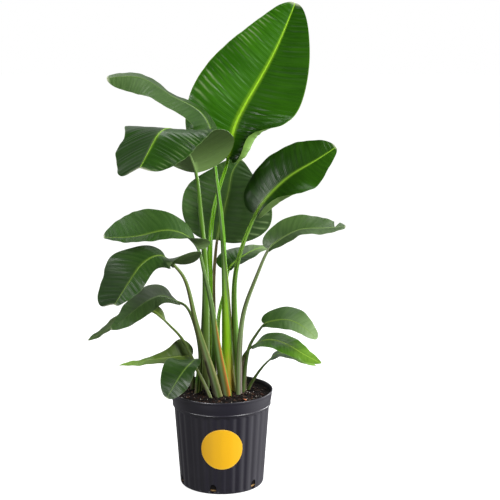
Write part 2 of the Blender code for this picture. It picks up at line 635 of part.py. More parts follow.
def label_mesh():
    """The round label, bent to the wall and lying over the crests of the flutes."""
    layers = []
    for lift in (LABEL_GAP, LABEL_GAP + LABEL_THICKNESS):
        points = [label_point(0, 0, lift)]
        for ring in range(1, LABEL_RINGS + 1):
            for k in range(LABEL_SEGMENTS):
                turn = 2 * pi * k / LABEL_SEGMENTS
                points.append(label_point(LABEL_RADIUS * ring / LABEL_RINGS, turn, lift))
        layers.append(points)
    size = len(layers[0])
    faces = []
    for k in range(LABEL_SEGMENTS):
        following = (k + 1) % LABEL_SEGMENTS
        cells = [[0, 1 + k, 1 + following]]
        for ring in range(LABEL_RINGS - 1):
            inner, outer = 1 + ring * LABEL_SEGMENTS, 1 + (ring + 1) * LABEL_SEGMENTS
            cells.append([inner + k, outer + k, outer + following])
            cells.append([inner + k, outer + following, inner + following])
        faces += cells + [[size + corner for corner in reversed(cell)] for cell in cells]
        rim = 1 + (LABEL_RINGS - 1) * LABEL_SEGMENTS
        a, b = rim + k, rim + following
        faces += [[b, a, size + a], [b, size + a, size + b]]
    return tidy_solid(np.array(layers[0] + layers[1], float), np.array(faces))


def label_point(distance, angle, lift):
    """A point of the label, by its distance and direction from the label's centre."""
    height = LABEL_LEVEL + distance * cos(angle)
    radius = wall_radius(height) + lift
    turn = distance * sin(angle) / radius
    return radius * sin(turn), -radius * cos(turn), height


# ---- Blender objects -----------------------------------------------------------------------------------

def material(name, colour, roughness, metallic=0.0):
    """A Principled material."""
    made = bpy.data.materials.new(name)
    made.use_nodes = True
    shader = made.node_tree.nodes["Principled BSDF"]
    shader.inputs["Base Color"].default_value = (*colour, 1)
    shader.inputs["Roughness"].default_value = roughness
    shader.inputs["Metallic"].default_value = metallic
    return made


def add_solid(name, mesh_parts, finish=None, smooth=40):
    """An object made from points and triangles, shaded smooth up to the given angle in degrees."""
    points, faces = mesh_parts
    mesh = bpy.data.meshes.new(name)
    mesh.from_pydata([tuple(point) for point in points], [], [tuple(map(int, face)) for face in faces])
    mesh.validate()
    solid = bpy.data.objects.new(name, mesh)
    bpy.context.scene.collection.objects.link(solid)
    if finish:
        mesh.materials.append(finish)
    mesh.shade_smooth()
    mesh.set_sharp_from_angle(angle=radians(smooth))
    return solid


def cut(solid, name, cutters):
    """Cuts a collection of hidden guides out of a solid, and removes the guides."""
    guides = bpy.data.collections.new(name)
    for cutter in cutters:
        for home in cutter.users_collection:
            home.objects.unlink(cutter)
        guides.objects.link(cutter)
        cutter.display_type = "WIRE"
        cutter.hide_render = True
    bpy.context.scene.collection.children.link(guides)
    modifier = solid.modifiers.new(name, "BOOLEAN")
    modifier.operation = "DIFFERENCE"
    modifier.operand_type = "COLLECTION"
    modifier.collection = guides
    bpy.context.view_layer.objects.active = solid
    bpy.ops.object.modifier_apply(modifier=name)
    for cutter in cutters:
        bpy.data.objects.remove(cutter)
    bpy.data.collections.remove(guides)


def drain_hole(number):
    """A round-topped guide that cuts one drain hole through the corner between the wall and the floor."""
    turn = DRAIN_HOLE_TURN + 2 * pi * number / DRAIN_HOLES
    bpy.ops.mesh.primitive_cylinder_add(vertices=16, radius=0.5, depth=1)
    guide = bpy.context.object
    guide.name = f"drain_guide_{number}"
    guide.scale = (DRAIN_HOLE_WIDTH, DRAIN_HOLE_HEIGHT * 1.6, 0.014)
    guide.rotation_euler = (radians(90), 0, turn)
    guide.location = (POT_BASE_RADIUS * sin(turn), -POT_BASE_RADIUS * cos(turn), 0.004)
    return guide


def main():
    """Builds every piece."""
    for item in list(bpy.data.objects):
        bpy.data.objects.remove(item)
    plastic = material("pot_plastic", (0.030, 0.029, 0.036), 0.45)
    earth = material("soil", (0.022, 0.013, 0.008), 0.95)
    paper = material("label_paper", (0.96, 0.47, 0.01), 0.40)
    pot = add_solid("pot", pot_mesh(), plastic)
    cut(pot, "drain_holes", [drain_hole(number) for number in range(DRAIN_HOLES)])
    soil = add_solid("soil", soil_mesh(), earth)
    cut(soil, "stalk_holes", [add_solid(f"hole_{leaf.name}", hole_mesh(leaf)) for leaf in LEAVES])
    add_solid("label", label_mesh(), paper)
    for leaf in LEAVES:
        green = material(leaf.name, (0.035, 0.12, 0.02), 0.42)
        add_solid(leaf.name, leaf_mesh(leaf), green, smooth=60)


if __name__ == "__main__":
    main()
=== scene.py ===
import logging
from collections.abc import Callable, Sequence
from dataclasses import dataclass
from enum import Enum
from math import cos, hypot, pi, radians, sin, tau

import bpy
import numpy as np
from mathutils import Euler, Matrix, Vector, noise


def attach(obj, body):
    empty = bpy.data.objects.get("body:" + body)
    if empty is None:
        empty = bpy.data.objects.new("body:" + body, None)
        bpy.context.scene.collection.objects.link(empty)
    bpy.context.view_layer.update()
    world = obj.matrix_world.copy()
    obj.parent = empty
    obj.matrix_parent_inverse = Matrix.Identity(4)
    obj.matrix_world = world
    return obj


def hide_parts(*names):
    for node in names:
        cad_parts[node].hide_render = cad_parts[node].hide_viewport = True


# The potted bird of paradise, dressed: sixteen veined leaves on channelled stalks, a fluted nursery pot,
# loose potting mix and a plain round label. Metres, +Z up, and the label faces -Y. Colours are display
# values of 0 to 255.

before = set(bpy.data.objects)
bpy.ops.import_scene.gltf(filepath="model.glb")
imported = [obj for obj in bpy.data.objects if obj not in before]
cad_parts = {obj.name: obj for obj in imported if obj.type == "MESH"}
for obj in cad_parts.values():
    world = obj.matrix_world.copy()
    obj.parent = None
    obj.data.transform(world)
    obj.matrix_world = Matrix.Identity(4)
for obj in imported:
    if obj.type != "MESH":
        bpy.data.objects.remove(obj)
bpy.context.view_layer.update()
LOG = logging.getLogger("potted_plant")

Colour = tuple[float, float, float]
Material = bpy.types.Material
Points = np.ndarray
BLACK, WHITE = (0, 0, 0), (255, 255, 255)


def linear(value: float) -> float:
    """A display value of 0 to 255 as a linear one of 0 to 1."""
    share = value / 255
    return share / 12.92 if share <= 0.04045 else ((share + 0.055) / 1.055) ** 2.4


def unit(vectors: Points | Sequence[float]) -> Points:
    """Vectors scaled to length 1."""
    vectors = np.asarray(vectors, float)
    return vectors / np.linalg.norm(vectors, axis=-1, keepdims=True)


def smooth_step(low: float, high: float, value: Points) -> Points:
    """0 below low, 1 above high, and an eased rise between them."""
    share = np.clip((value - low) / (high - low), 0, 1)
    return share * share * (3 - 2 * share)


def between(knots: Sequence, share: Points) -> Points:
    """A smooth course through evenly spaced knots.

    Args:
        knots: the numbers or vectors at the evenly spaced places.
        share: where to read them, from 0 to 1.

    Returns:
        The values there, with the knots' own last axis if they are vectors.
    """
    knots, share = np.asarray(knots, float), np.asarray(share, float)
    if len(knots) == 1:
        return np.broadcast_to(knots[0], share.shape + knots.shape[1:])
    place = np.clip(share, 0, 1) * (len(knots) - 1)
    first = np.clip(place.astype(int), 0, len(knots) - 2)
    part = (place - first).reshape(share.shape + (1,) * (knots.ndim - 1))
    slope = np.gradient(knots, axis=0)
    return ((2 * part**3 - 3 * part**2 + 1) * knots[first]
            + (part**3 - 2 * part**2 + part) * slope[first]
            + (3 * part**2 - 2 * part**3) * knots[first + 1]
            + (part**3 - part**2) * slope[first + 1])


def flowing_curve(points: Sequence, samples: int = 600) -> tuple[Points, Points, Points]:
    """A natural cubic spline.

    Args:
        points: what the curve passes through.
        samples: how many points it is read at.

    Returns:
        The dense points, their lengths along the curve, and the lengths at the given points.
    """
    given = np.asarray(points, float)
    count = len(given)
    knots = np.concatenate([[0], np.cumsum(np.sqrt(np.linalg.norm(np.diff(given, axis=0), axis=1)))])
    gaps = np.diff(knots)
    matrix, right = np.eye(count), np.zeros_like(given)
    for k in range(1, count - 1):
        matrix[k, k - 1:k + 2] = gaps[k - 1], 2 * (gaps[k - 1] + gaps[k]), gaps[k]
        right[k] = 6 * ((given[k + 1] - given[k]) / gaps[k] - (given[k] - given[k - 1]) / gaps[k - 1])
    bend = np.linalg.solve(matrix, right)
    place = np.linspace(0, knots[-1], samples)
    k = np.clip(np.searchsorted(knots, place, side="right") - 1, 0, count - 2)
    gap, after, before = gaps[k][:, None], (place - knots[k])[:, None], (knots[k + 1] - place)[:, None]
    curve = ((bend[k] * before**3 + bend[k + 1] * after**3) / (6 * gap)
             + (given[k] / gap - bend[k] * gap / 6) * before
             + (given[k + 1] / gap - bend[k + 1] * gap / 6) * after)
    length = np.concatenate([[0], np.cumsum(np.linalg.norm(np.diff(curve, axis=0), axis=1))])
    return curve, length, np.interp(knots, place, length)


# ---- Shader maths --------------------------------------------------------------------------------------

class Signal:
    """An output of a shader node, on which arithmetic adds nodes."""

    def __init__(self, shader: "Shader", socket: bpy.types.NodeSocket) -> None:
        """Wraps a socket of the shader's tree."""
        self.shader, self.socket = shader, socket

    def maths(self, operation: str, *values: "Signal | float") -> "Signal":
        """A Math node on the values, or a Vector Math node where this signal is a vector."""
        kind = "ShaderNodeVectorMath" if self.socket.type == "VECTOR" else "ShaderNodeMath"
        return self.shader.node(kind, {"operation": operation}, dict(enumerate(values)))

    def __add__(self, other: "Signal | float") -> "Signal":
        """self + other."""
        return self.maths("ADD", self, other)

    __radd__ = __add__

    def __sub__(self, other: "Signal | float") -> "Signal":
        """self - other."""
        return self.maths("SUBTRACT", self, other)

    def __rsub__(self, other: float) -> "Signal":
        """other - self."""
        return self.maths("SUBTRACT", other, self)

    def __mul__(self, other: "Signal | float") -> "Signal":
        """self * other."""
        return self.maths("MULTIPLY", self, other)

    __rmul__ = __mul__

    def __pow__(self, other: "Signal | float") -> "Signal":
        """self to a power."""
        return self.maths("POWER", self, other)

    def __rpow__(self, other: float) -> "Signal":
        """other to the power of self."""
        return self.maths("POWER", other, self)

    def __abs__(self) -> "Signal":
        """The size of self."""
        return self.maths("ABSOLUTE", self)

    def sine(self) -> "Signal":
        """The sine of self, in radians."""
        return self.maths("SINE", self)

    def step(self, low: float, high: float) -> "Signal":
        """An eased rise from 0 at low to 1 at high, or a fall where high is the lesser."""
        spans = {"Value": self, "From Min": low, "From Max": high}
        return self.shader.node("ShaderNodeMapRange", {"interpolation_type": "SMOOTHSTEP"}, spans)

    def blend(self, low: "Signal | Colour", high: "Signal | Colour") -> "Signal":
        """A colour that goes from low to high as self goes from 0 to 1."""
        sockets = {0: self, 6: low, 7: high}
        return self.shader.node("ShaderNodeMix", {"data_type": "RGBA"}, sockets, output=2)


class Shader:
    """The nodes of a material or a world, and the last of them, which the others feed."""

    def __init__(self, name: str, world: bool = False) -> None:
        """Starts a material or a world.

        Args:
            name: its name.
            world: whether it is a world.
        """
        self.owner = (bpy.data.worlds if world else bpy.data.materials).new(name)
        self.owner.use_nodes = True
        self.tree = self.owner.node_tree
        self.surface = self.tree.nodes["Background" if world else "Principled BSDF"]

    def node(self, kind: str, settings: dict[str, object] | None = None,
             sockets: dict[int | str, object] | None = None, output: int | str = 0) -> Signal:
        """Adds a node.

        Args:
            kind: the node's type.
            settings: its properties, set first.
            sockets: the values or signals of its inputs, by number or name.
            output: which output is returned.

        Returns:
            The chosen output.
        """
        made = self.tree.nodes.new(kind)
        for name, value in (settings or {}).items():
            setattr(made, name, value)
        for name, value in (sockets or {}).items():
            self.feed(made.inputs[name], value)
        return Signal(self, made.outputs[output])

    def feed(self, socket: bpy.types.NodeSocket, value: object) -> None:
        """Links a signal to an input, or sets the input's own value.

        Args:
            socket: the input.
            value: a signal, a number, or the display values of a colour.
        """
        if isinstance(value, Signal):
            self.tree.links.new(value.socket, socket)
        elif socket.type == "RGBA":
            socket.default_value = (*map(linear, value), 1)
        else:
            socket.default_value = value

    def attribute(self, name: str) -> Signal:
        """A number stored at the mesh's points."""
        return self.node("ShaderNodeAttribute", {"attribute_name": name}, output="Fac")

    def place(self, kind: str = "Object") -> Signal:
        """The point's place on the object, in metres. In a world, "Generated" is the direction."""
        return self.node("ShaderNodeTexCoord", output=kind)

    def parts(self, vector: Signal) -> list[Signal]:
        """The three parts of a vector."""
        return [self.node("ShaderNodeSeparateXYZ", sockets={0: vector}, output=axis) for axis in range(3)]

    def vector(self, *parts: Signal | float) -> Signal:
        """A vector from its three parts."""
        return self.node("ShaderNodeCombineXYZ", sockets=dict(enumerate(parts)))

    def noise(self, scale: float, detail: float = 3, where: Signal | None = None) -> Signal:
        """Cloudy noise from 0 to 1, with scale blotches per metre or per unit of where, and finer layers."""
        sockets = {"Vector": where or self.place(), "Scale": scale, "Detail": detail}
        return self.node("ShaderNodeTexNoise", sockets=sockets)

    def bump(self, height: Signal, depth: float, strength: float = 1.0) -> None:
        """Raises the surface by a height of 0 to 1 times a depth in metres."""
        sockets = {"Strength": strength, "Distance": depth, "Height": height}
        self.feed(self.surface.inputs["Normal"], self.node("ShaderNodeBump", sockets=sockets))

    def finish(self, **inputs: object) -> bpy.types.ID:
        """Feeds the last node.

        Args:
            inputs: values or signals, by the names of its inputs with _ for a space.

        Returns:
            The material or the world.
        """
        for name, value in inputs.items():
            self.feed(self.surface.inputs[name.replace("_", " ")], value)
        return self.owner


@dataclass(frozen=True)
class Speckles:
    """Blotches of one size on a surface."""

    scale: float                # how many there are in a metre
    detail: float = 3           # their finer layers
    start: float = 0.0          # the noise at which they start to show
    full: float = 1.0           # and at which they show in full
    strength: float = 1.0       # how strongly they colour the surface
    lift: float = 0.0           # and raise it

    def spread(self, shader: Shader) -> tuple[Signal, Signal]:
        """Their noise, and how strongly they show."""
        cloud = shader.noise(self.scale, self.detail)
        return cloud, cloud.step(self.start, self.full) * self.strength


@dataclass(frozen=True)
class SpeckledFinish:
    """Two colours in broad and fine speckles, which also raise the surface."""

    name: str
    dark: Colour
    light: Colour
    broad: Speckles
    fine: Speckles = Speckles(1, strength=0)
    fleck: Colour | None = None     # the fine speckles' colour, where it isn't the light one
    inside: Colour | None = None    # the colour below the level, where it differs
    level: float = 0.0110
    roughness: float = 0.80
    sway: float = 0.0           # how much rougher the broad speckles are
    shine: float = 0.50         # how strongly it mirrors
    depth: float = 0.0          # height of the speckles, in metres
    relief: float = 1.0         # how strongly it shows

    def material(self) -> Material:
        """Makes the finish.

        Returns:
            The material.
        """
        shader = Shader(self.name)
        (broad, patches), (fine, specks) = self.broad.spread(shader), self.fine.spread(shader)
        if self.fleck:
            colour = specks.blend(patches.blend(self.dark, self.light), self.fleck)
        else:
            colour = (patches + specks).blend(self.dark, self.light)
        if self.inside:
            height = shader.parts(shader.place())[2]
            colour = height.step(self.level + 0.0015, self.level - 0.0015).blend(colour, self.inside)
        if self.depth:
            shader.bump(broad * self.broad.lift + fine * self.fine.lift, self.depth, self.relief)
        rough = broad * self.sway + self.roughness if self.sway else self.roughness
        return shader.finish(Base_Color=colour, Roughness=rough, Specular_IOR_Level=self.shine)


CHARCOAL = SpeckledFinish("charcoal_plastic", (24, 21, 35), (42, 39, 54),
                          Speckles(14, 4, 0.50, 0.80, 0.35, 0.4), Speckles(900, 2, 0.55, 0.80, 0.15, 0.6),
                          roughness=0.30, sway=0.14, shine=0.60, depth=0.00012, relief=0.5)
PEAT = SpeckledFinish("peat_mix", (7, 4, 4), (24, 14, 10), Speckles(180, 5, 0.35, 0.70, 0.7, 0.5),
                      Speckles(900, 3, 0.50, 0.75, 0.3, 0.5), inside=(196, 156, 100), roughness=0.95,
                      shine=0.20, depth=0.0012)
BARK = SpeckledFinish("bark", (12, 7, 6), (48, 25, 16), Speckles(60, 2, 0.35, 0.68),
                      Speckles(700, 3, 0.50, 0.80, 0.4, 1.0), fleck=(84, 48, 32), roughness=0.85,
                      shine=0.20, depth=0.0006)
PERLITE = SpeckledFinish("perlite", (226, 220, 210), (160, 148, 134), Speckles(500, 3, 0.40, 0.75),
                         Speckles(1800, 2, strength=0, lift=1), roughness=0.90, depth=0.0003)
BARE_WOOD = SpeckledFinish("bare_wood", (176, 92, 56), (204, 128, 88), Speckles(700, 3, 0.40, 0.70))
ROOT_FIBRE = SpeckledFinish("root_fibre", (70, 46, 32), (128, 92, 62), Speckles(220, 2, 0.35, 0.70))


# ---- Meshes --------------------------------------------------------------------------------------------

def add_piece(name: str, points: Points, faces: Sequence, material: Material, slot: str,
              replaces: str = "", sharp: float = 50,
              values: dict[str, Points] | None = None) -> bpy.types.Object:
    """Adds a mesh that rides on the plant's one body, and reports it.

    Args:
        name: the piece's name.
        points: its vertices.
        faces: its faces, as lists of vertex numbers.
        material: its finish.
        slot: the record's material slot; not used.
        replaces: the CAD node that it stands for, if it stands for one.
        sharp: the angle past which an edge shows as a crease, in degrees.
        values: numbers stored at the vertices, by attribute name.

    Returns:
        The piece.
    """
    mesh = bpy.data.meshes.new(name)
    faces = faces.tolist() if isinstance(faces, Points) else faces
    mesh.from_pydata(np.asarray(points).tolist(), [], faces)
    for title, numbers in (values or {}).items():
        layer = mesh.attributes.new(title, "FLOAT", "POINT")
        layer.data.foreach_set("value", np.asarray(numbers, np.float32))
    mesh.materials.append(material)
    mesh.shade_smooth()
    mesh.set_sharp_from_angle(angle=radians(sharp))
    piece = bpy.data.objects.new(name, mesh)
    bpy.context.scene.collection.objects.link(piece)
    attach(piece, "root")
    if replaces:
        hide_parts(replaces)
    LOG.info("%s: %d faces", name, len(mesh.polygons))
    return piece


def tube(rings: int, sides: int) -> Points:
    """The quads of a tube, whose points are numbered round each ring in turn.

    Args:
        rings: how many rings it has.
        sides: how many points a ring has.

    Returns:
        The quads, a row for each pair of neighbouring rings.
    """
    ring, side = np.meshgrid(np.arange(rings - 1) * sides, np.arange(sides), indexing="ij")
    following = (side + 1) % sides
    quads = [ring + side, ring + following, ring + sides + following, ring + sides + side]
    return np.stack(quads, -1).reshape(-1, 4)


def turned(profile: Sequence[tuple[float, float]], segments: int,
           shape: Callable[[Points, Points, Points], Points] | None = None) -> tuple[Points, list]:
    """A closed form turned about Z.

    Args:
        profile: (radius, height) points that begin and end on the axis.
        segments: how many steps a turn has.
        shape: the radius, from the profile's radii, heights and the angles, if it varies.

    Returns:
        The points and the faces.
    """
    rings = np.array(profile[1:-1], float)
    radii, turns = np.meshgrid(rings[:, 0], np.arange(segments) * tau / segments, indexing="ij")
    heights = np.broadcast_to(rings[:, 1:], radii.shape)
    if shape:
        radii = shape(radii, heights, turns)
    body = np.stack([radii * np.sin(turns), -radii * np.cos(turns), heights], -1).reshape(-1, 3)
    points = np.concatenate([[[0, 0, profile[0][1]]], body, [[0, 0, profile[-1][1]]]])
    faces = (tube(len(rings), segments) + 1).tolist()
    last, rim = len(points) - 1, len(points) - 1 - segments
    for k in range(segments):
        following = (k + 1) % segments
        faces += [[0, 1 + following, 1 + k], [last, rim + k, rim + following]]
    return points, faces


def sheet_solid(top: Points, bottom: Points, present: Points) -> tuple[Points, Points]:
    """Two grids of points joined into one closed solid.

    Args:
        top: the upper grid of points.
        bottom: the lower grid.
        present: which cells of the grids are filled.

    Returns:
        The used points, numbered in the two grids laid end to end, and the faces.
    """
    shape = top.shape[:2]
    layer = shape[0] * shape[1]
    number = np.arange(layer).reshape(shape)
    row, column = np.nonzero(present)
    cells = np.stack([number[row, column], number[row, column + 1],
                      number[row + 1, column + 1], number[row + 1, column]], 1)
    starts, ends = cells.reshape(-1), np.roll(cells, -1, axis=1).reshape(-1)
    open_edge = ~np.isin(starts * layer + ends, ends * layer + starts)
    starts, ends = starts[open_edge], ends[open_edge]
    walls = np.stack([ends, starts, starts + layer, ends + layer], 1)
    used, faces = np.unique(np.concatenate([cells, cells[:, ::-1] + layer, walls]), return_inverse=True)
    return used, faces.reshape(-1, 4)


# ---- Leaves --------------------------------------------------------------------------------------------

BLADE_THICKNESS = 0.0007
THIN_MARGIN = 0.35              # how much of the thickness is lost at the margin
ROOT_DEPTH = 0.030              # how far a stalk stands in the mix
STALK_DEPTH = 1.05              # a stalk's depth over its half width
STALK_EDGE = 0.12               # height of a stalk's edges over its depth
CHANNEL = (0.65, 0.40)          # depth of a stalk's channel over the stalk's, and half width over its own
GROOVE = (0.26, 0.35)           # the same of a rib's groove, over the rib's half width
RIB_ARCH = (0.34, 1.3)          # how far a rib stands out above and below, over its half width
SHEATH_ENDS = (0.12, 0.60)      # shares of the stalk over which the sheath narrows
NECK_END = 0.12                 # share of the blade over which the stalk turns into the rib
LOBE_SPREAD = 0.45              # radians of the outline over which a lobe reaches back or forward
TIP_REACH = 0.5                 # length that the centre line runs on past the tip, over the blade's
STALK_PITCH = 0.004             # between the stalk's rows of points
STRIP = np.sin(np.linspace(-pi / 2, pi / 2, 13))    # places across the stalk and rib
WING = np.linspace(0, 1, 16)[1:] ** 0.9             # and from the rib to the margin
CURL_STEPS = 24
FEWEST_ROWS = 90
NARROWEST = 0.0006              # breadth of a half blade at its ends
MARGIN_WAVES = (0.075, 0.035)   # lengths of the waves in a margin
TORN_ROWS = 14                  # how many rows a tear moves on each side
TEAR_FADE = 5                   # and how many rows from it the pull dies away
ROWS_PER_PLEAT = 8
VEIN_SPACING = 1 / 260


@dataclass(frozen=True)
class BladeFinish:
    """The colours and gloss of a blade."""

    light: Colour
    deep: Colour
    under: Colour
    rib: Colour
    margin: Colour
    roughness: float


@dataclass(frozen=True)
class StemFinish:
    """The colours of a stalk: at the soil, above it, along its channel, and of its dry sheath's edge."""

    foot: Colour
    body: Colour
    channel: Colour
    edge: Colour
    bare: float = 0.25          # how far up the foot's colour runs, as a share of the stalk
    dry: float = 0.40           # and how far up the dry edge runs
    top: Colour | None = None   # the stalk's colour under the blade, where it differs


class Tone(Enum):
    """The green of a blade."""

    BRIGHT = BladeFinish((54, 110, 5), (32, 79, 2), (108, 146, 66), (146, 196, 36), (120, 160, 60), 0.26)
    FRESH = BladeFinish((72, 118, 26), (48, 90, 14), (116, 150, 70), (136, 170, 60), (150, 180, 100), 0.30)
    DEEP = BladeFinish((42, 84, 8), (22, 54, 3), (112, 142, 76), (124, 168, 44), (100, 130, 70), 0.28)
    DULL = BladeFinish((66, 98, 40), (40, 72, 24), (96, 124, 70), (96, 126, 40), (110, 136, 80), 0.36)
    GREY = BladeFinish((50, 82, 26), (28, 56, 13), (96, 124, 70), (92, 122, 46), (120, 140, 90), 0.33)
    SILVER = BladeFinish((80, 108, 56), (50, 78, 32), (128, 150, 100), (112, 140, 70), (150, 165, 120), 0.34)
    SHADE = BladeFinish((44, 64, 26), (24, 42, 14), (96, 118, 40), (64, 88, 34), (90, 110, 66), 0.36)
    OLIVE = BladeFinish((74, 96, 26), (56, 78, 18), (80, 104, 24), (104, 124, 50), (150, 160, 90), 0.36)
    LEMON = BladeFinish((116, 156, 46), (84, 126, 28), (130, 160, 70), (160, 186, 80), (200, 205, 130), 0.34)
    PALE = BladeFinish((136, 160, 108), (104, 132, 78), (150, 170, 120), (150, 172, 104), (196, 202, 170),
                       0.36)


class Stem(Enum):
    """The colour of a stalk."""

    LIME = StemFinish((130, 136, 50), (84, 142, 12), (112, 170, 24), (140, 150, 50))
    YELLOW = StemFinish((190, 160, 64), (136, 196, 12), (176, 204, 40), (226, 200, 80), 0.12, 0.45,
                        (94, 150, 18))
    GREEN = StemFinish((118, 112, 84), (84, 132, 34), (110, 152, 50), (120, 130, 60))
    MOSS = StemFinish((80, 92, 44), (84, 128, 24), (122, 166, 44), (120, 150, 50))
    SHEATHED = StemFinish((120, 106, 62), (88, 136, 28), (116, 158, 42), (212, 112, 44), 0.12, 0.55,
                          (100, 138, 62))
    DUSKY = StemFinish((128, 114, 114), (100, 156, 50), (128, 172, 62), (130, 100, 80), 0.16)
    OLIVE = StemFinish((118, 108, 100), (112, 128, 82), (134, 148, 96), (150, 84, 60))
    KHAKI = StemFinish((134, 122, 104), (104, 118, 52), (128, 142, 72), (130, 120, 80))
    DARK = StemFinish((96, 92, 66), (80, 102, 48), (104, 128, 62), (100, 100, 60))
    PLUM = StemFinish((88, 60, 62), (92, 72, 52), (100, 92, 60), (90, 64, 56))


@dataclass(frozen=True)
class LeafLook:
    """What dresses a leaf's plan: its colours, its corrugation and the tears in its margin."""

    tone: Tone
    stem: Stem
    pleat: float = 0.0002       # half height of the folds along the veins
    pitch: float = 0.0130       # between those folds, along the rib
    ruffle: float = 0.0012      # half height of the waves in the margin
    sheath: float = 1.0         # how much wider the stalk's foot is than its plan's
    tip: Tone | None = None     # the green of the tip's end, where it isn't the same
    painted_shade: tuple = (0.0, 0.0)     # painted shade: how much darker each half blade is painted, where less light falls on it
    shine: float = 0.34         # how strongly it mirrors
    painted_glints: tuple = (0.0, 0.0)   # painted glints: strength of the pale streaks towards each margin, painted highlights along the pleats
    tears: tuple = ()           # (side, share along the rib, how far in, how wide) of each split

    def skin(self, name: str) -> Material:
        """The leaf's finish, read from the numbers stored on its mesh.

        Args:
            name: the material's name.

        Returns:
            The material.
        """
        choices = self.tone, self.stem, self.tip or self.tone, Tone.PALE
        blade, stem, tip, pale = (choice.value for choice in choices)
        shader = Shader(name)
        # across is 0 in the middle of the rib, 1 at its edges and 2 at the margins. run is 1 at the neck
        # and 2 at the tip.
        signed, length, run, face = map(shader.attribute, ("across", "length", "run", "face"))
        across, cloud, drift = abs(signed), shader.noise(8), shader.noise(42, 2)
        fine = shader.noise(1, 2, shader.vector(length * 150, signed * 0.8, face * 5))
        streaks = shader.noise(1, 4, shader.vector(signed * 6, length * 14, face * 3))
        # Fine veins at the vein spacing, and streaks at the pleats' pitch for the painted glints, which stand
        # in for highlights on the pleats.
        veins, glint_streaks = (((length * (tau / spacing) + drift * wander).sine() * 0.5 + 0.5) ** sharpness
                      for spacing, wander, sharpness in ((VEIN_SPACING, 4, 3), (self.pitch, 2.5, 4)))
        # Painted shade: each half blade is darkened by its own share. Painted glints: each half's pale
        # streaks show by their own strength.
        painted_shade, painted_glints = (signed.step(-0.5, 0.5) * (right - left) + left
                      for left, right in (self.painted_shade, self.painted_glints))

        # The blade's green turns to the tip's green along the blade, blotchily.
        toward_tip = (run + cloud * 0.3).step(1.45, 2.15)
        mix = cloud.step(0.30, 0.72) * 0.55 + fine.step(0.35, 0.65) * 0.35 + veins * 0.10
        upper = mix.blend(toward_tip.blend(blade.deep, tip.deep), toward_tip.blend(blade.light, tip.light))
        # The painted glints keep to a band near the margin and show in patches.
        glint_streaks = glint_streaks * across.step(1.50, 1.86) * across.step(1.99, 1.90) * (cloud + fine).step(0.8, 1.15)
        # Over the upper side: painted shade in black, painted glints in pale green, then the rib, the margin
        # line and the pale tip edge.
        for share, colour in ((painted_shade, BLACK), (glint_streaks * painted_glints, pale.light),
                              (across.step(1.07, 1.0) * 0.3, blade.rib),
                              (across.step(1.975, 1.995) * 0.5, blade.margin),
                              (run.step(1.975, 2.0) * 0.7, pale.margin)):
            upper = share.blend(upper, colour)
        leaf = face.blend((veins * 0.2 + fine * 0.4).blend(blade.under, blade.margin), upper)

        stalk = run.step(stem.bare * 0.35, stem.bare * 1.9).blend(stem.foot, stem.body)
        stalk = (face * 0.8).blend(stalk, stem.channel)
        if stem.top:
            stalk = run.step(0.35, 0.62).blend(stalk, stem.top)
        stalk = (streaks.step(0.42, 0.72) * run.step(0.7, 0.0) * 0.55).blend(stalk, stem.foot)
        dry = face * (signed + run * 0.12).step(-0.76, -0.87) * run.step(stem.dry, stem.dry * 0.8)
        stalk = run.step(0.98, 1.04).blend(dry.blend(stalk, stem.edge), face.blend(blade.under, blade.rib))

        rough = (1 - face) * 0.16 + cloud * 0.12 + fine * 0.08 + (blade.roughness - 0.08)
        shader.bump(veins * across.step(1.0, 1.1) * 0.5 + streaks * 0.4, 0.0003, 0.6)
        return shader.finish(Base_Color=across.step(0.82, 1.06).blend(stalk, leaf), Roughness=rough,
                             Specular_IOR_Level=self.shine)


@dataclass(frozen=True)
class LeafPlan:
    """A leaf's course and blade. Pairs are the blade's left and right, seen from above, base to tip."""

    name: str
    look: LeafLook
    stalk: tuple                # points from the soil to the blade, in millimetres
    rib: tuple                  # points from there to the tip, in millimetres
    reach: tuple                # widest reach of each half blade
    faces: tuple                # which way the upper side faces, from the base to the tip
    fold: tuple = ((0,), (0,))  # rise of each half blade at the rib, degrees, from the base to the tip
    curl: tuple = ((0,), (0,))  # further turn out to the margin, degrees, from the base to the tip
    late: tuple = (1.0, 1.0)    # above 1, the curl comes near the margin
    form: tuple = ((1,), (1,))  # share of the reach, from the base to the tip
    girth: tuple = (0.008, 0.003)   # half width of the stalk at the soil and at the blade
    clasp: tuple = (1, 0, 0)    # which way the stalk's channel faces at the soil
    blunt: float = 0.6          # 1 is a round tip, 0 a pointed one
    egg: float = 0.25           # how much wider the base half is
    heart: float = 0.03         # how far the base lobes reach back
    rake: float = 0.10          # how far the veins lean to the tip
    fore: tuple = (0.0, 0.0)    # how far each half blade reaches past the tip
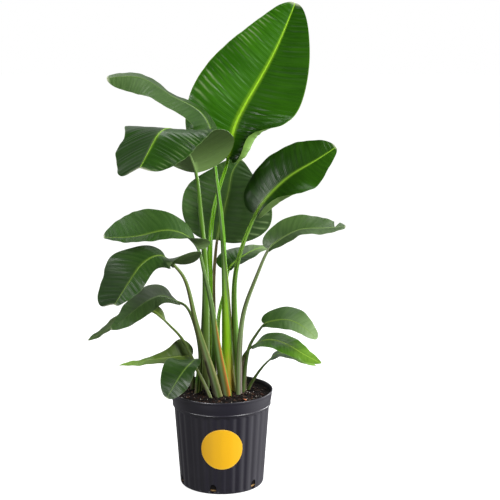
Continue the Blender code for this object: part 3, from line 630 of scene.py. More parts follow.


# In the looks, the darkening of a half blade is painted shade, and the pale streaks towards a margin are
# painted glints.
LEAF_PLANS = (
    LeafPlan("leaf_top",
        LeafLook(Tone.BRIGHT, Stem.LIME, pleat=0.0007, pitch=0.0132, ruffle=0.0005, painted_shade=(0, 0.35), shine=0.26,
                 painted_glints=(0.75, 0)),
        stalk=((-35, 70, 230), (-30, 70, 455), (-25, 75, 635), (-5, 80, 735), (18, 85, 810)),
        rib=((33, 90, 885), (88, 105, 990), (143, 125, 1090), (188, 150, 1195)), reach=(0.126, 0.115),
        faces=((0.05, -1, 0.1), (-0.05, -1, 0.1), (0, -1, 0.35)), fold=((8, 6, 10), (10, 5, 10)),
        curl=((-25, -45, -35), (150, 140, 50, 0, 0, 0, 0)), late=(2.5, 1.4),
        form=((1.05, 1.05, 1, 0.8), (1.25, 1.1, 1.03, 1.04, 1.0, 0.92, 0.85)), girth=(0.0110, 0.0042),
        blunt=1.1, egg=0.28, heart=0.03),
    LeafPlan("leaf_high_left",
        LeafLook(Tone.GREY, Stem.YELLOW, pleat=0.0003, ruffle=0.0006, sheath=1.4, tip=Tone.SILVER),
        stalk=((19, 14, 230), (15, 14, 365), (10, 15, 515), (0, 22, 680), (-15, 30, 805)),
        rib=((-20, 30, 870), (-50, 20, 932), (-120, 0, 973), (-187, -25, 1015), (-270, -40, 1015)),
        reach=(0.075, 0.055), faces=((0.5, -0.5, 0.5), (0.3, -0.35, 0.9), (0, -0.15, 0.9), (0, -0.3, 0.9)),
        fold=((-25, -20, -35, -35), (0, 0, 0, -3, 13, 3, 5)),
        form=((0.8, 0.78, 0.75, 0.63, 0.76, 1.1, 1.2), (0.4, 0.6, 1)), girth=(0.0125, 0.0044),
        clasp=(0.3, 1, 0), blunt=1.0),
    LeafPlan("leaf_upper_left",
        LeafLook(Tone.DEEP, Stem.MOSS, pleat=0.0005, pitch=0.0120, sheath=1.15, painted_glints=(0.5, 0)),
        stalk=((-45, 45, 230), (-40, 38, 405), (-40, 25, 555), (-50, 5, 692), (-60, -15, 787)),
        rib=((-77, -30, 842), (-106, -62, 893), (-138, -103, 895), (-163, -137, 858), (-186, -165, 815)),
        reach=(0.125, 0.125), faces=((0.5, 0.7, 0.5), (0.1, 0, 0.9), (-0.2, -0.6, 0.8), (-0.3, -0.85, 0.45)),
        fold=((40, 21, 0, 0), (0, -4, -17, -29)),
        form=((1, 1, 1, 1, 1.02, 1.06, 1.0), (0.8, 1.0, 1.15, 1.12, 0.93, 1.2, 1.2)), fore=(0, 0.10),
        girth=(0.0125, 0.0042), clasp=(0.2, 1, 0), blunt=1.4, heart=0.0, rake=0.18),
    LeafPlan("leaf_back",
        LeafLook(Tone.DULL, Stem.PLUM, pleat=0.0011, pitch=0.0165, painted_shade=(0.1, 0.4), painted_glints=(0.15, 0.6)),
        stalk=((-20, 90, 230), (-20, 95, 370), (-20, 100, 485), (-16, 105, 545), (-10, 110, 600)),
        rib=((3, 120, 660), (20, 140, 725), (30, 160, 770), (53, 180, 800)), reach=(0.106, 0.122),
        faces=((0, -1, 0.2), (0, -1, 0.3), (0, -1, 0.5)),
        form=((1, 1, 1, 1, 0.95, 0.6, 0.5), (1, 1, 1, 0.95, 0.85, 1.15, 1.0)), girth=(0.010, 0.0035),
        blunt=0.7, egg=0.20),
    LeafPlan("leaf_upper_right",
        LeafLook(Tone.DEEP, Stem.DUSKY, pleat=0.0003, pitch=0.0150, sheath=1.25, painted_shade=(0.2, 0), shine=0.16),
        stalk=((38, 26, 230), (34, 18, 390), (36, 10, 535), (64, 0, 635), (85, -10, 685)),
        rib=((105, -15, 718), (163, -20, 776), (220, -20, 811), (280, -10, 848)), reach=(0.068, 0.064),
        faces=((-0.3, -0.9, 0.4), (-0.2, -0.9, 0.3), (-0.1, -0.9, 0.4)), fold=((5, 10, 10), (5, 10, 10)),
        curl=((-35, -40, -10), (150, 145, 115, 60, 10, 0, 0)), late=(2.5, 1.6),
        form=((1, 1, 1, 1.03, 1.1, 1.15, 1.15), (1.1, 1.1, 1.15, 1.14, 1.1, 0.85, 0.65)),
        girth=(0.0095, 0.0042), clasp=(-1, 0, 0), blunt=1.05),
    LeafPlan("leaf_back_small", LeafLook(Tone.DEEP, Stem.GREEN, pleat=0.0004, tip=Tone.PALE),
        stalk=((-2, 66, 230), (-8, 68, 395), (8, 75, 475), (20, 85, 528)),
        rib=((34, 95, 545), (60, 105, 562), (98, 120, 577), (137, 130, 577)), reach=(0.055, 0.030),
        faces=((-0.4, -0.6, 0.5), (0, -0.3, 0.8), (0, -0.2, 0.9)), fold=((10, 0, 0), (30, 10, 0)),
        form=((1.2, 0.6, 0.4), (1,)), girth=(0.008, 0.0030)),
    LeafPlan("leaf_mid_right",
        LeafLook(Tone.SILVER, Stem.OLIVE, tip=Tone.SILVER, tears=((0, 0.86, 0.10, 0.018),)),
        stalk=((42, -8, 230), (46, -12, 370), (60, -22, 460), (86, -40, 535), (115, -55, 605)),
        rib=((135, -60, 625), (185, -75, 655), (240, -90, 662), (297, -100, 668)), reach=(0.050, 0.052),
        faces=((-0.4, -0.5, 0.7), (0, -0.3, 0.9), (0, -0.3, 0.9)), fold=((25, 20, 10), (0, 0, 0)),
        form=((0.93,), (0.3, 0.5, 0.6, 0.6, 0.7, 0.9, 1)), girth=(0.0090, 0.0034), clasp=(-1, 0, 0),
        blunt=0.8),
    LeafPlan("leaf_mid_left",
        LeafLook(Tone.DULL, Stem.SHEATHED, pleat=0.0003, sheath=1.25, tip=Tone.DEEP, painted_shade=(0.1, 0.1)),
        stalk=((13, -18, 230), (-10, -26, 365), (-25, -32, 470), (-42, -40, 550), (-55, -50, 605)),
        rib=((-77, -55, 635), (-128, -70, 655), (-195, -90, 645), (-278, -110, 645)), reach=(0.030, 0.060),
        faces=((0.3, 0.2, 0.8), (0, -0.35, 0.8), (0, -0.35, 0.8), (0, -0.35, 0.8)),
        fold=((65, 15, -5, -5, 0, 0, 0), (20, 15, 10)),
        form=((2.2, 1.0, 1, 1, 1, 1, 1), (0.5, 0.8, 0.88, 1.28, 1.5, 1.62, 1.3)), girth=(0.0120, 0.0036),
        blunt=1.0),
    LeafPlan("leaf_waist_left",
        LeafLook(Tone.DULL, Stem.KHAKI, pleat=0.0004, pitch=0.0120, sheath=1.3, tip=Tone.DEEP, painted_shade=(0, 0.2),
                 shine=0.30),
        stalk=((-7, -30, 230), (-44, -39, 360), (-66, -50, 440), (-88, -70, 535), (-115, -85, 575)),
        rib=((-142, -90, 597), (-182, -115, 586), (-213, -140, 550), (-251, -157, 492)), reach=(0.075, 0.075),
        faces=((0.3, 0.5, 0.6), (-0.1, -0.5, 0.8), (-0.2, -0.7, 0.6), (-0.25, -0.8, 0.5), (-0.3, -0.9, 0.3)),
        form=((2.2, 1.1, 0.5, 0.5, 0.6, 0.55, 0.35), (0.25, 0.5, 0.7, 1.12, 1.3, 1.4, 1.5)),
        fold=((5, 5, 0, 0, 0, 0, 0), (0, 0, -15, -25)), fore=(0, 0.13), girth=(0.0100, 0.0035), blunt=1.4,
        heart=0.08),
    LeafPlan("leaf_low_left", LeafLook(Tone.SHADE, Stem.DARK, tip=Tone.DULL),
        stalk=((-56, 22, 230), (-52, 8, 320), (-65, -10, 405), (-87, -30, 460), (-109, -45, 475)),
        rib=((-143, -60, 492), (-185, -80, 480), (-230, -95, 447), (-265, -100, 418)), reach=(0.045, 0.050),
        faces=((0.1, -0.2, 0.9), (-0.3, -0.4, 0.8), (-0.4, -0.5, 0.7)), fold=((-25, -25, -10), (0, 0, 0)),
        form=((0.3, 0.7, 1), (1.35, 1.3, 1.1, 1.0, 1, 1, 1)), girth=(0.0080, 0.0032), heart=0.08),
    LeafPlan("leaf_narrow_left", LeafLook(Tone.OLIVE, Stem.DARK, tip=Tone.SILVER),
        stalk=((-28, -42, 230), (-58, -24, 292), (-93, -22, 368), (-115, -40, 402), (-138, -55, 430)),
        rib=((-175, -50, 457), (-230, -50, 442), (-285, -50, 404), (-327, -50, 380)), reach=(0.030, 0.030),
        faces=((0.1, -0.2, 0.9), (-0.2, -0.3, 0.9), (-0.2, -0.4, 0.9)),
        form=((0.3, 0.3, 0.35, 0.6, 0.9), (1,)), girth=(0.006, 0.0028)),
    LeafPlan("leaf_base_left", LeafLook(Tone.OLIVE, Stem.DARK, tip=Tone.LEMON),
        stalk=((-74, 35, 230), (-72, 28, 265), (-71, 18, 298), (-76, 6, 320)),
        rib=((-105, -12, 327), (-175, -30, 324), (-253, -40, 313)), reach=(0.030, 0.030),
        faces=((0, -0.3, 1),), fold=((0,), (60, 60, 0, 0)),
        form=((0.7,), (1.6, 1.6, 0.75, 0.4, 0.4, 0.5, 0.5)), girth=(0.007, 0.0025)),
    LeafPlan("leaf_front_left", LeafLook(Tone.GREY, Stem.GREEN, pleat=0.0003, painted_shade=(0.15, 0.15)),
        stalk=((-62, 0, 230), (-60, -8, 275), (-58, -16, 315)),
        rib=((-62, -38, 328), (-72, -66, 328), (-90, -88, 314), (-110, -103, 288), (-133, -112, 250)),
        reach=(0.045, 0.050),
        faces=((0.2, 1, 0.4), (0, 0.1, 1), (-0.1, -0.6, 0.8), (-0.1, -0.9, 0.4), (-0.1, -1, 0.2)),
        form=((0.15, 0.25, 0.42, 0.58, 0.8, 0.95, 1), (0.1, 0.3, 0.7, 1.1, 1.1, 1.1, 1.1)),
        girth=(0.006, 0.0028), blunt=1.0, heart=0.0, rake=0.05),
    LeafPlan("leaf_low_right", LeafLook(Tone.DULL, Stem.DARK, tip=Tone.PALE, shine=0.25),
        stalk=((55, 12, 230), (58, 6, 285), (70, -18, 355), (88, -30, 390), (105, -40, 415)),
        rib=((122, -50, 425), (162, -70, 433), (200, -85, 418), (232, -90, 390)), reach=(0.042, 0.030),
        faces=((-0.2, -0.5, 0.7), (0.1, -0.6, 0.8), (0.4, -0.6, 0.6)), form=((1,), (0.5, 0.8, 1, 1, 1)),
        girth=(0.007, 0.0026), clasp=(-1, 0, 0), blunt=1.0, heart=0.05),
    LeafPlan("leaf_base_right",
        LeafLook(Tone.FRESH, Stem.PLUM, tip=Tone.LEMON, painted_shade=(0.1, 0.1), shine=0.22),
        stalk=((48, 50, 230), (50, 34, 285), (60, 10, 330), (80, -5, 352)),
        rib=((108, -20, 370), (153, -40, 368), (200, -60, 345), (245, -70, 323)), reach=(0.030, 0.030),
        faces=((-0.1, -0.2, 0.9), (0.1, -0.5, 0.8), (0.3, -0.6, 0.6)), girth=(0.007, 0.0026),
        clasp=(-1, 0, 0)),
    LeafPlan("leaf_small_right", LeafLook(Tone.DEEP, Stem.DARK, tip=Tone.LEMON),
        stalk=((68, 28, 230), (80, 20, 257), (100, 10, 290), (123, 0, 317)),
        rib=((145, 0, 330), (180, -10, 327), (213, -20, 315), (235, -30, 305)), reach=(0.025, 0.025),
        faces=((0, 0, 1), (0, -0.1, 1), (0.2, -0.2, 1)), girth=(0.005, 0.0024), clasp=(-1, 0, 0)),
)


class Spine:
    """A leaf's centre line, from its root to its tip, with the way that its upper side faces."""

    def __init__(self, plan: LeafPlan) -> None:
        """Runs a smooth curve through the plan's points, and straight on past the tip.

        Args:
            plan: the leaf's plan.
        """
        self.plan = plan
        stalk, rib = np.array(plan.stalk) / 1000, np.array(plan.rib) / 1000
        rise = unit(unit(stalk[1] - stalk[0]) + (0, 0, 1))
        curve, lengths, marks = flowing_curve([stalk[0] - rise * ROOT_DEPTH, *stalk, *rib])
        headings = unit(np.gradient(curve, lengths, axis=0))
        self.foot, self.neck = marks[1], marks[len(stalk)]
        self.blade = marks[-1] - self.neck
        beyond = self.blade * TIP_REACH
        self.curve = np.vstack([curve, curve[-1] + headings[-1] * beyond])
        self.lengths = np.append(lengths, lengths[-1] + beyond)
        self.headings = np.vstack([headings, headings[-1]])

    def read(self, values: Points, length: Points) -> Points:
        """Values given along the curve, read at other lengths."""
        return np.stack([np.interp(length, self.lengths, values[:, axis]) for axis in range(3)], -1)

    def share(self, length: Points) -> Points:
        """How far along the blade a length lies, from 0 at the neck to 1 at the tip."""
        return (length - self.neck) / self.blade

    def climb(self, length: Points) -> Points:
        """How far up the stalk a length lies, from 0 at the soil to 1 at the neck."""
        return np.clip((length - self.foot) / (self.neck - self.foot), 0, 1)

    def frames(self, length: Points) -> tuple[Points, Points, Points]:
        """The places and directions of cross sections.

        Args:
            length: where they are, along the curve.

        Returns:
            The centre, the right-hand direction and the upper direction at each length.
        """
        centre, heading = self.read(self.curve, length), unit(self.read(self.headings, length))
        faces = unit(self.plan.faces)
        turn = smooth_step(0, 1, self.climb(length))[..., None]
        on_stalk = unit(self.plan.clasp) * (1 - turn) + faces[0] * turn
        share = self.share(length)
        facing = np.where(share[..., None] < 0, on_stalk, between(faces, share))
        upper = unit(facing - (facing * heading).sum(-1, keepdims=True) * heading)
        return centre, np.cross(heading, upper), upper

    def girth(self, length: Points) -> Points:
        """Half width of the stalk or rib.

        Args:
            length: where, along the curve.

        Returns:
            The half width at each length.
        """
        foot, neck = self.plan.girth
        stalk = neck + (foot - neck) * (1 - self.climb(length)) ** 1.2
        rib = neck * (0.17 + 0.83 * (1 - np.clip(self.share(length), 0, 1)) ** 1.6)
        return np.where(length > self.neck, rib, stalk)


def normals(grid: Points, facing: Points) -> Points:
    """Unit normals of a grid of points, on the side that facing points to."""
    raw = np.cross(np.gradient(grid, axis=1), np.gradient(grid, axis=0))
    return unit(raw + 1e-12) * np.sign((raw * facing).sum(-1, keepdims=True))


class LeafPiece:
    """A leaf as a fine closed sheet: a channelled stalk that becomes a rib between two pleated wings."""

    def __init__(self, plan: LeafPlan, seed: int) -> None:
        """Draws the phases of the waves, and spaces the rows along the rib.

        Args:
            plan: the leaf's plan.
            seed: of the random draw.
        """
        self.plan, self.look, self.spine = plan, plan.look, Spine(plan)
        self.phases = np.random.default_rng(seed).uniform(0, tau, 6)
        pleats = self.spine.blade / self.look.pitch
        even = np.linspace(0.004, 0.996, int(max(FEWEST_ROWS, pleats * ROWS_PER_PLEAT)))
        self.rows = 0.35 * even + 0.65 * np.arccos(1 - 2 * even) / pi

    def rib_shares(self) -> Points:
        """Where each vein row leaves the rib, as a share of the blade."""
        margin = (1 - np.cos(pi * self.rows)) / 2
        return np.maximum(margin - self.plan.rake * np.sin(pi * margin), 0)

    def strip(self, length: Points) -> tuple[Points, Points]:
        """The stalk and rib.

        Args:
            length: where the rows are, along the centre line.

        Returns:
            The rows' upper and lower points.
        """
        centre, right, upper = self.spine.frames(length)
        sheath = 1 + (self.look.sheath - 1) * (1 - smooth_step(*SHEATH_ENDS, self.spine.climb(length)))
        girth = (self.spine.girth(length) * sheath)[:, None]
        on_rib = smooth_step(0, NECK_END, self.spine.share(length))[:, None]
        half, depth, arch = BLADE_THICKNESS / 2, girth * STALK_DEPTH, np.sqrt(1 - STRIP**2)
        back = STALK_EDGE + (1 - STALK_EDGE) * arch
        channel, groove = (deep * np.exp(-((STRIP / wide) ** 2)) for deep, wide in (CHANNEL, GROOVE))
        across = centre[:, None] + right[:, None] * (girth * STRIP)[..., None]
        above, below = RIB_ARCH
        rise = depth * (back - channel) * (1 - on_rib) + (half + girth * (above * arch - groove)) * on_rib
        drop = -depth * back * (1 - on_rib) - (half + girth * below * arch) * on_rib
        return across + upper[:, None] * rise[..., None], across + upper[:, None] * drop[..., None]

    def wing(self, side: int) -> tuple[Points, Points]:
        """One half blade, a row for each vein line.

        Args:
            side: 0 for the left half, 1 for the right.

        Returns:
            The points between its upper and lower sides, and the upper directions there.
        """
        plan, spine = self.plan, self.spine
        angle = pi * self.rows
        margin = (1 - np.cos(angle)) / 2
        breadth = np.sin(angle) ** (1 + (1 - plan.blunt) * margin) * (1 + plan.egg * np.cos(angle))
        for place, reach in ((angle, -plan.heart), (pi - angle, plan.fore[side])):
            lobe = place / LOBE_SPREAD
            margin = margin + reach * lobe * np.exp(1 - lobe)
        rib = self.rib_shares()
        share = rib[:, None] + (margin - rib)[:, None] * WING**1.25
        reach = plan.reach[side] * breadth * between(plan.form[side], margin)
        distance = np.maximum(reach, NARROWEST)[:, None] * WING
        fold, curl = (np.radians(between(turns[side], share)) for turns in (plan.fold, plan.curl))
        along, height = np.zeros_like(distance), np.zeros_like(distance)
        for step in range(CURL_STEPS):
            turn = fold + curl * (WING * (step + 0.5) / CURL_STEPS) ** plan.late[side]
            along += np.cos(turn) * distance / CURL_STEPS
            height += np.sin(turn) * distance / CURL_STEPS
        length = spine.neck + share * spine.blade
        centre, right, upper = spine.frames(length)
        outward = right if side else -right
        turn = (fold + curl * WING ** plan.late[side])[..., None]
        points = centre + outward * (spine.girth(length) + along)[..., None] + upper * height[..., None]
        return points, upper * np.cos(turn) - outward * np.sin(turn)

    def waves(self, side: int) -> Points:
        """The lift of the pleats and of the ruffled margin.

        Args:
            side: 0 for the left half, 1 for the right.

        Returns:
            How far they raise each point of the half blade.
        """
        look, first, second, third, fourth = self.look, *self.phases[2:]
        length = self.rib_shares() * self.spine.blade
        phase = length / look.pitch * tau + self.phases[side]
        phase = phase + 1.1 * np.sin(0.17 * phase + first) + 0.6 * np.sin(0.41 * phase + second)
        fold = np.sin(phase) + 0.3 * np.sin(2.4 * phase + third)
        swell = 0.65 + 0.35 * np.sin(0.23 * phase + fourth)
        ends = smooth_step(0, 0.06, self.rows) * (1 - smooth_step(0.93, 1, self.rows))
        breadth = smooth_step(0.02, 0.3, WING) * (1 - smooth_step(0.8, 1, WING) * 0.8)
        slow, quick = (length / wave * tau for wave in MARGIN_WAVES)
        sway = np.sin(slow + self.phases[3 + side]) + 0.6 * np.sin(quick + third)
        pleats, ruffle = (fold * swell * ends)[:, None] * breadth, (sway * ends)[:, None] * WING**2.5
        return look.pleat * pleats + look.ruffle * ruffle

    def tear(self, side: int, points: Points) -> Points:
        """Pulls the rows beside each tear apart.

        Args:
            side: 0 for the left half, 1 for the right.
            points: the half blade's points, which it moves.

        Returns:
            The cells that it opens.
        """
        opened = np.zeros((len(self.rows) - 1, len(WING)), bool)
        for torn_side, share, start, width in self.look.tears:
            if torn_side != side:
                continue
            row = int(np.searchsorted(self.rib_shares(), share))
            beyond = np.clip((WING - start) / (1 - start), 0, 1)
            along = unit(points[row + 1, -1] - points[row - 1, -1])
            for offset in range(-TORN_ROWS, TORN_ROWS + 1):
                near = min(max(row + offset, 0), len(points) - 1)
                pull = width / 2 * np.exp(-abs(offset + 0.5) / TEAR_FADE) * (1 if offset >= 1 else -1)
                points[near] += along * (pull * beyond)[:, None]
            opened[row] |= WING > start
        return opened

    def build(self) -> bpy.types.Object:
        """Makes the leaf's piece.

        Returns:
            The piece.
        """
        spine = self.spine
        count = max(24, int((spine.neck - spine.foot) / STALK_PITCH))
        on_stalk = np.concatenate([[0], np.linspace(spine.foot - 0.01, spine.neck, count)[:-1]])
        on_rib = spine.neck + self.rib_shares() * spine.blade
        on_rib[0] = spine.neck
        length = np.concatenate([on_stalk, on_rib])
        first, wide, last = len(on_stalk), len(WING), len(WING) + len(STRIP) - 1
        upper, lower = self.strip(length)
        half = (BLADE_THICKNESS / 2 * (1 - THIN_MARGIN * WING**3))[:, None]
        present = np.ones((len(length) - 1, last + wide), bool)
        present[:first, :wide] = present[:first, last:] = False
        wings, blank = [], np.zeros((first, wide, 3))
        for side, columns in enumerate((slice(wide), slice(last, None))):
            points, facing = self.wing(side)
            points = points + normals(points, facing) * self.waves(side)[..., None]
            order = slice(None, None, 1 if side else -1)
            present[first:, columns] &= ~self.tear(side, points)[:, order]
            wings.append((points[:, order], (normals(points, facing) * half)[:, order]))
        layers = []
        for sign, strip in ((1, upper), (-1, lower)):
            left, right = (np.concatenate([blank, points + sign * lift]) for points, lift in wings)
            layers.append(np.concatenate([left, strip, right], 1))
        used, faces = sheet_solid(*layers, present)
        points = np.concatenate([layer.reshape(-1, 3) for layer in layers])[used]
        corners = points[faces]
        if (corners[:, 0] * np.cross(corners[:, 1], corners[:, 2])).sum() < 0:
            faces = faces[:, ::-1]
        across = np.concatenate([-1 - WING[::-1], STRIP, 1 + WING])
        run = spine.climb(length) + np.clip(spine.share(length), 0, 1)
        grids = np.broadcast_arrays(across, run[:, None], length[:, None])
        values = {title: np.tile(grid.reshape(-1), 2)[used]
                  for title, grid in zip(("across", "run", "length"), grids)}
        values["face"] = np.repeat([1.0, 0.0], grids[0].size)[used]
        name = self.plan.name
        return add_piece(f"{name}_blade", points, faces, self.look.skin(f"{name}_skin"), "leaf_green", name,
                         values=values)


# ---- Pot and label -------------------------------------------------------------------------------------

# Points of the pot's section, by their distance from a radius and a height.
FOOT_ROLL = ((-0.013, 0.003), (-0.010, 0), (-0.004, 0), (-0.0015, 0.0008), (-0.0003, 0.0022))
BEAD_ROLL = ((-0.0012, -0.0022), (-0.0003, -0.0014), (0, -0.0004), (0, 0.0008), (-0.0004, 0.0018),
             (-0.0010, 0.0026), (-0.0008, 0.0040))
LIP_ROLL = ((-0.0002, -0.0045), (0, -0.0035), (0, -0.0012), (-0.0004, -0.0003), (-0.0011, 0))
INNER_ROLL = ((0.0006, 0), (-0.0001, -0.0008), (-0.0008, -0.006))


@dataclass(frozen=True)
class NurseryPot:
    """The moulded pot: a foot, a fluted wall, a bead, a plain band with a lip, and its drain holes."""

    height: float = 0.241
    rim: float = 0.128
    base: float = 0.105
    wall: float = 0.0026
    floor: float = 0.005
    bead: float = 0.205         # height of the plain band's lower edge
    bulge: float = 0.0006       # of the plain band
    shoulder: float = 0.1195    # radius of the fluted wall's top
    flutes: int = 30
    flute_depth: float = 0.0020
    holes: int = 6
    hole: tuple[float, float, float] = (0.016, 0.024, 0.014)    # a drain hole's width, height and depth
    hole_level: float = 0.014   # height of its middle
    hole_turn: float = radians(-12)
    segments: int = 360

    def wall_radius(self, height: Points | float) -> Points | float:
        """Radius over the crests of the fluted wall."""
        return self.base + (self.shoulder - self.base) * height / (self.bead - 0.004)

    def fluted(self, radii: Points, heights: Points, turns: Points) -> Points:
        """Draws the outer wall in between the flutes' crests, with rounded ends under the band.

        Args:
            radii: of the section.
            heights: of the section.
            turns: round the pot.

        Returns:
            The radii with the flutes.
        """
        groove = 0.5 - 0.5 * np.cos(self.flutes * turns)
        top = self.bead - 0.0065 - 0.004 * (1 - np.sqrt(groove))
        share = smooth_step(0.001, 0.007, heights) * (1 - smooth_step(-0.002, 0.0015, heights - top))
        outside = np.abs(radii - self.wall_radius(heights)) < 0.0007
        return radii - np.where(outside, share, 0) * self.flute_depth * groove**1.6

    def profile(self) -> list[tuple[float, float]]:
        """Half the pot's section.

        Returns:
            (radius, height) points, from the middle of the underside round the rim to the middle of the
            floor.
        """
        foot, rim, top, edge = self.base, self.rim, self.height, self.shoulder + 0.004
        heights = [0.004, 0.006, 0.008, *np.linspace(0.012, self.bead - 0.014, 14),
                   *np.linspace(self.bead - 0.013, self.bead - 0.005, 9)]
        band = [(edge - 0.0008 + (rim - 0.0004 - edge) * share + self.bulge * sin(pi * share),
                 self.bead + 0.004 + (top - 0.010 - self.bead) * share) for share in np.linspace(0.1, 1, 10)]
        return [(0, 0), (0.030, 0), (0.033, 0.003), *((foot + out, up) for out, up in FOOT_ROLL),
                *((self.wall_radius(height), height) for height in heights),
                (self.shoulder + 0.0002, self.bead - 0.0035),
                *((edge + out, self.bead + up) for out, up in BEAD_ROLL),
                *band,
                *((rim + out, top + up) for out, up in LIP_ROLL),
                *((rim - self.wall + out, top + up) for out, up in INNER_ROLL),
                (self.shoulder - self.wall, self.bead - 0.004), (foot - self.wall, self.floor + 0.003),
                (foot - self.wall - 0.003, self.floor), (0, self.floor)]

    def build(self) -> None:
        """Makes the pot and cuts its drain holes."""
        pot = add_piece("nursery_pot", *turned(self.profile(), self.segments, self.fluted),
                        CHARCOAL.material(), "pot_plastic", "pot", sharp=35)
        for number in range(self.holes):
            self.cut(pot, self.hole_turn + tau * number / self.holes)

    def cut(self, pot: bpy.types.Object, turn: float) -> None:
        """Cuts one round-topped drain hole through the corner of the wall and the floor.

        Args:
            pot: the pot's piece.
            turn: where round the pot.
        """
        bpy.ops.mesh.primitive_cylinder_add(vertices=48, radius=0.5, depth=1)
        guide = bpy.context.object
        guide.scale = self.hole
        guide.rotation_euler = (radians(90), 0, turn)
        guide.location = (self.base * sin(turn), -self.base * cos(turn), self.hole_level)
        bpy.context.view_layer.objects.active = pot
        modifier = pot.modifiers.new("drain_hole", "BOOLEAN")
        modifier.operation = "DIFFERENCE"
        modifier.object = guide
        bpy.ops.object.modifier_apply(modifier=modifier.name)
        bpy.data.objects.remove(guide)


@dataclass(frozen=True)
class PaperFinish:
    """Warm yellow coated paper with a slightly lighter border."""

    level: float                # height of the label's middle
    radius: float               # and its size
    yellow: Colour = (255, 194, 18)
    cloudy: Colour = (252, 184, 14)
    border: Colour = (255, 204, 80)
    roughness: float = 0.34

    def material(self) -> Material:
        """Makes the finish.

        Returns:
            The material.
        """
        shader = Shader("yellow_label")
        x, _, z = shader.parts(shader.place())
        offset = shader.vector(x, 0.0, z - self.level)
        distance = shader.node("ShaderNodeVectorMath", {"operation": "LENGTH"}, {0: offset}, output="Value")
        cloud = shader.noise(30)
        border = distance.step(self.radius * 0.955, self.radius * 0.965) * 0.5
        colour = border.blend((cloud * 0.25).blend(self.yellow, self.cloudy), self.border)
        shader.bump(shader.noise(1400, 2), 0.00004, 0.4)
        return shader.finish(Base_Color=colour, Roughness=self.roughness + cloud * 0.08)


@dataclass(frozen=True)
class RoundLabel:
    """A plain round label stuck over the crests of the flutes."""

    pot: NurseryPot
    radius: float = 0.052
    level: float = 0.119
    thickness: float = 0.0004
    gap: float = 0.0004
    sag: float = 0.00012        # between the crests
    rings: int = 26
    segments: int = 120

    def bend(self, x: float, y: float, lift: float) -> tuple[float, float, float]:
        """Bends a point of the flat label to the wall.

        Args:
            x: how far right of the middle it is.
            y: how far below the middle.
            lift: how far off the wall.

        Returns:
            The point.
        """
        radius = self.pot.wall_radius(self.level - y)
        turn = x / radius
        radius += lift - self.sag * (0.5 - 0.5 * cos(self.pot.flutes * turn))
        return radius * sin(turn), -radius * cos(turn), self.level - y

    def build(self) -> None:
        """Makes the label as a flat disc with a slightly smaller face, and bends it."""
        steps = np.arange(self.rings + 1) / self.rings * self.radius
        face = self.gap + self.thickness
        profile = [(step, self.gap) for step in steps] + [(step * 0.996, face) for step in steps[::-1]]
        points, faces = turned(profile, self.segments)
        add_piece("round_label", [self.bend(*point) for point in points],
                  [corners[::-1] for corners in faces], PaperFinish(self.level, self.radius).material(),
                  "label_paper", "label", sharp=30)


# ---- Potting mix ---------------------------------------------------------------------------------------

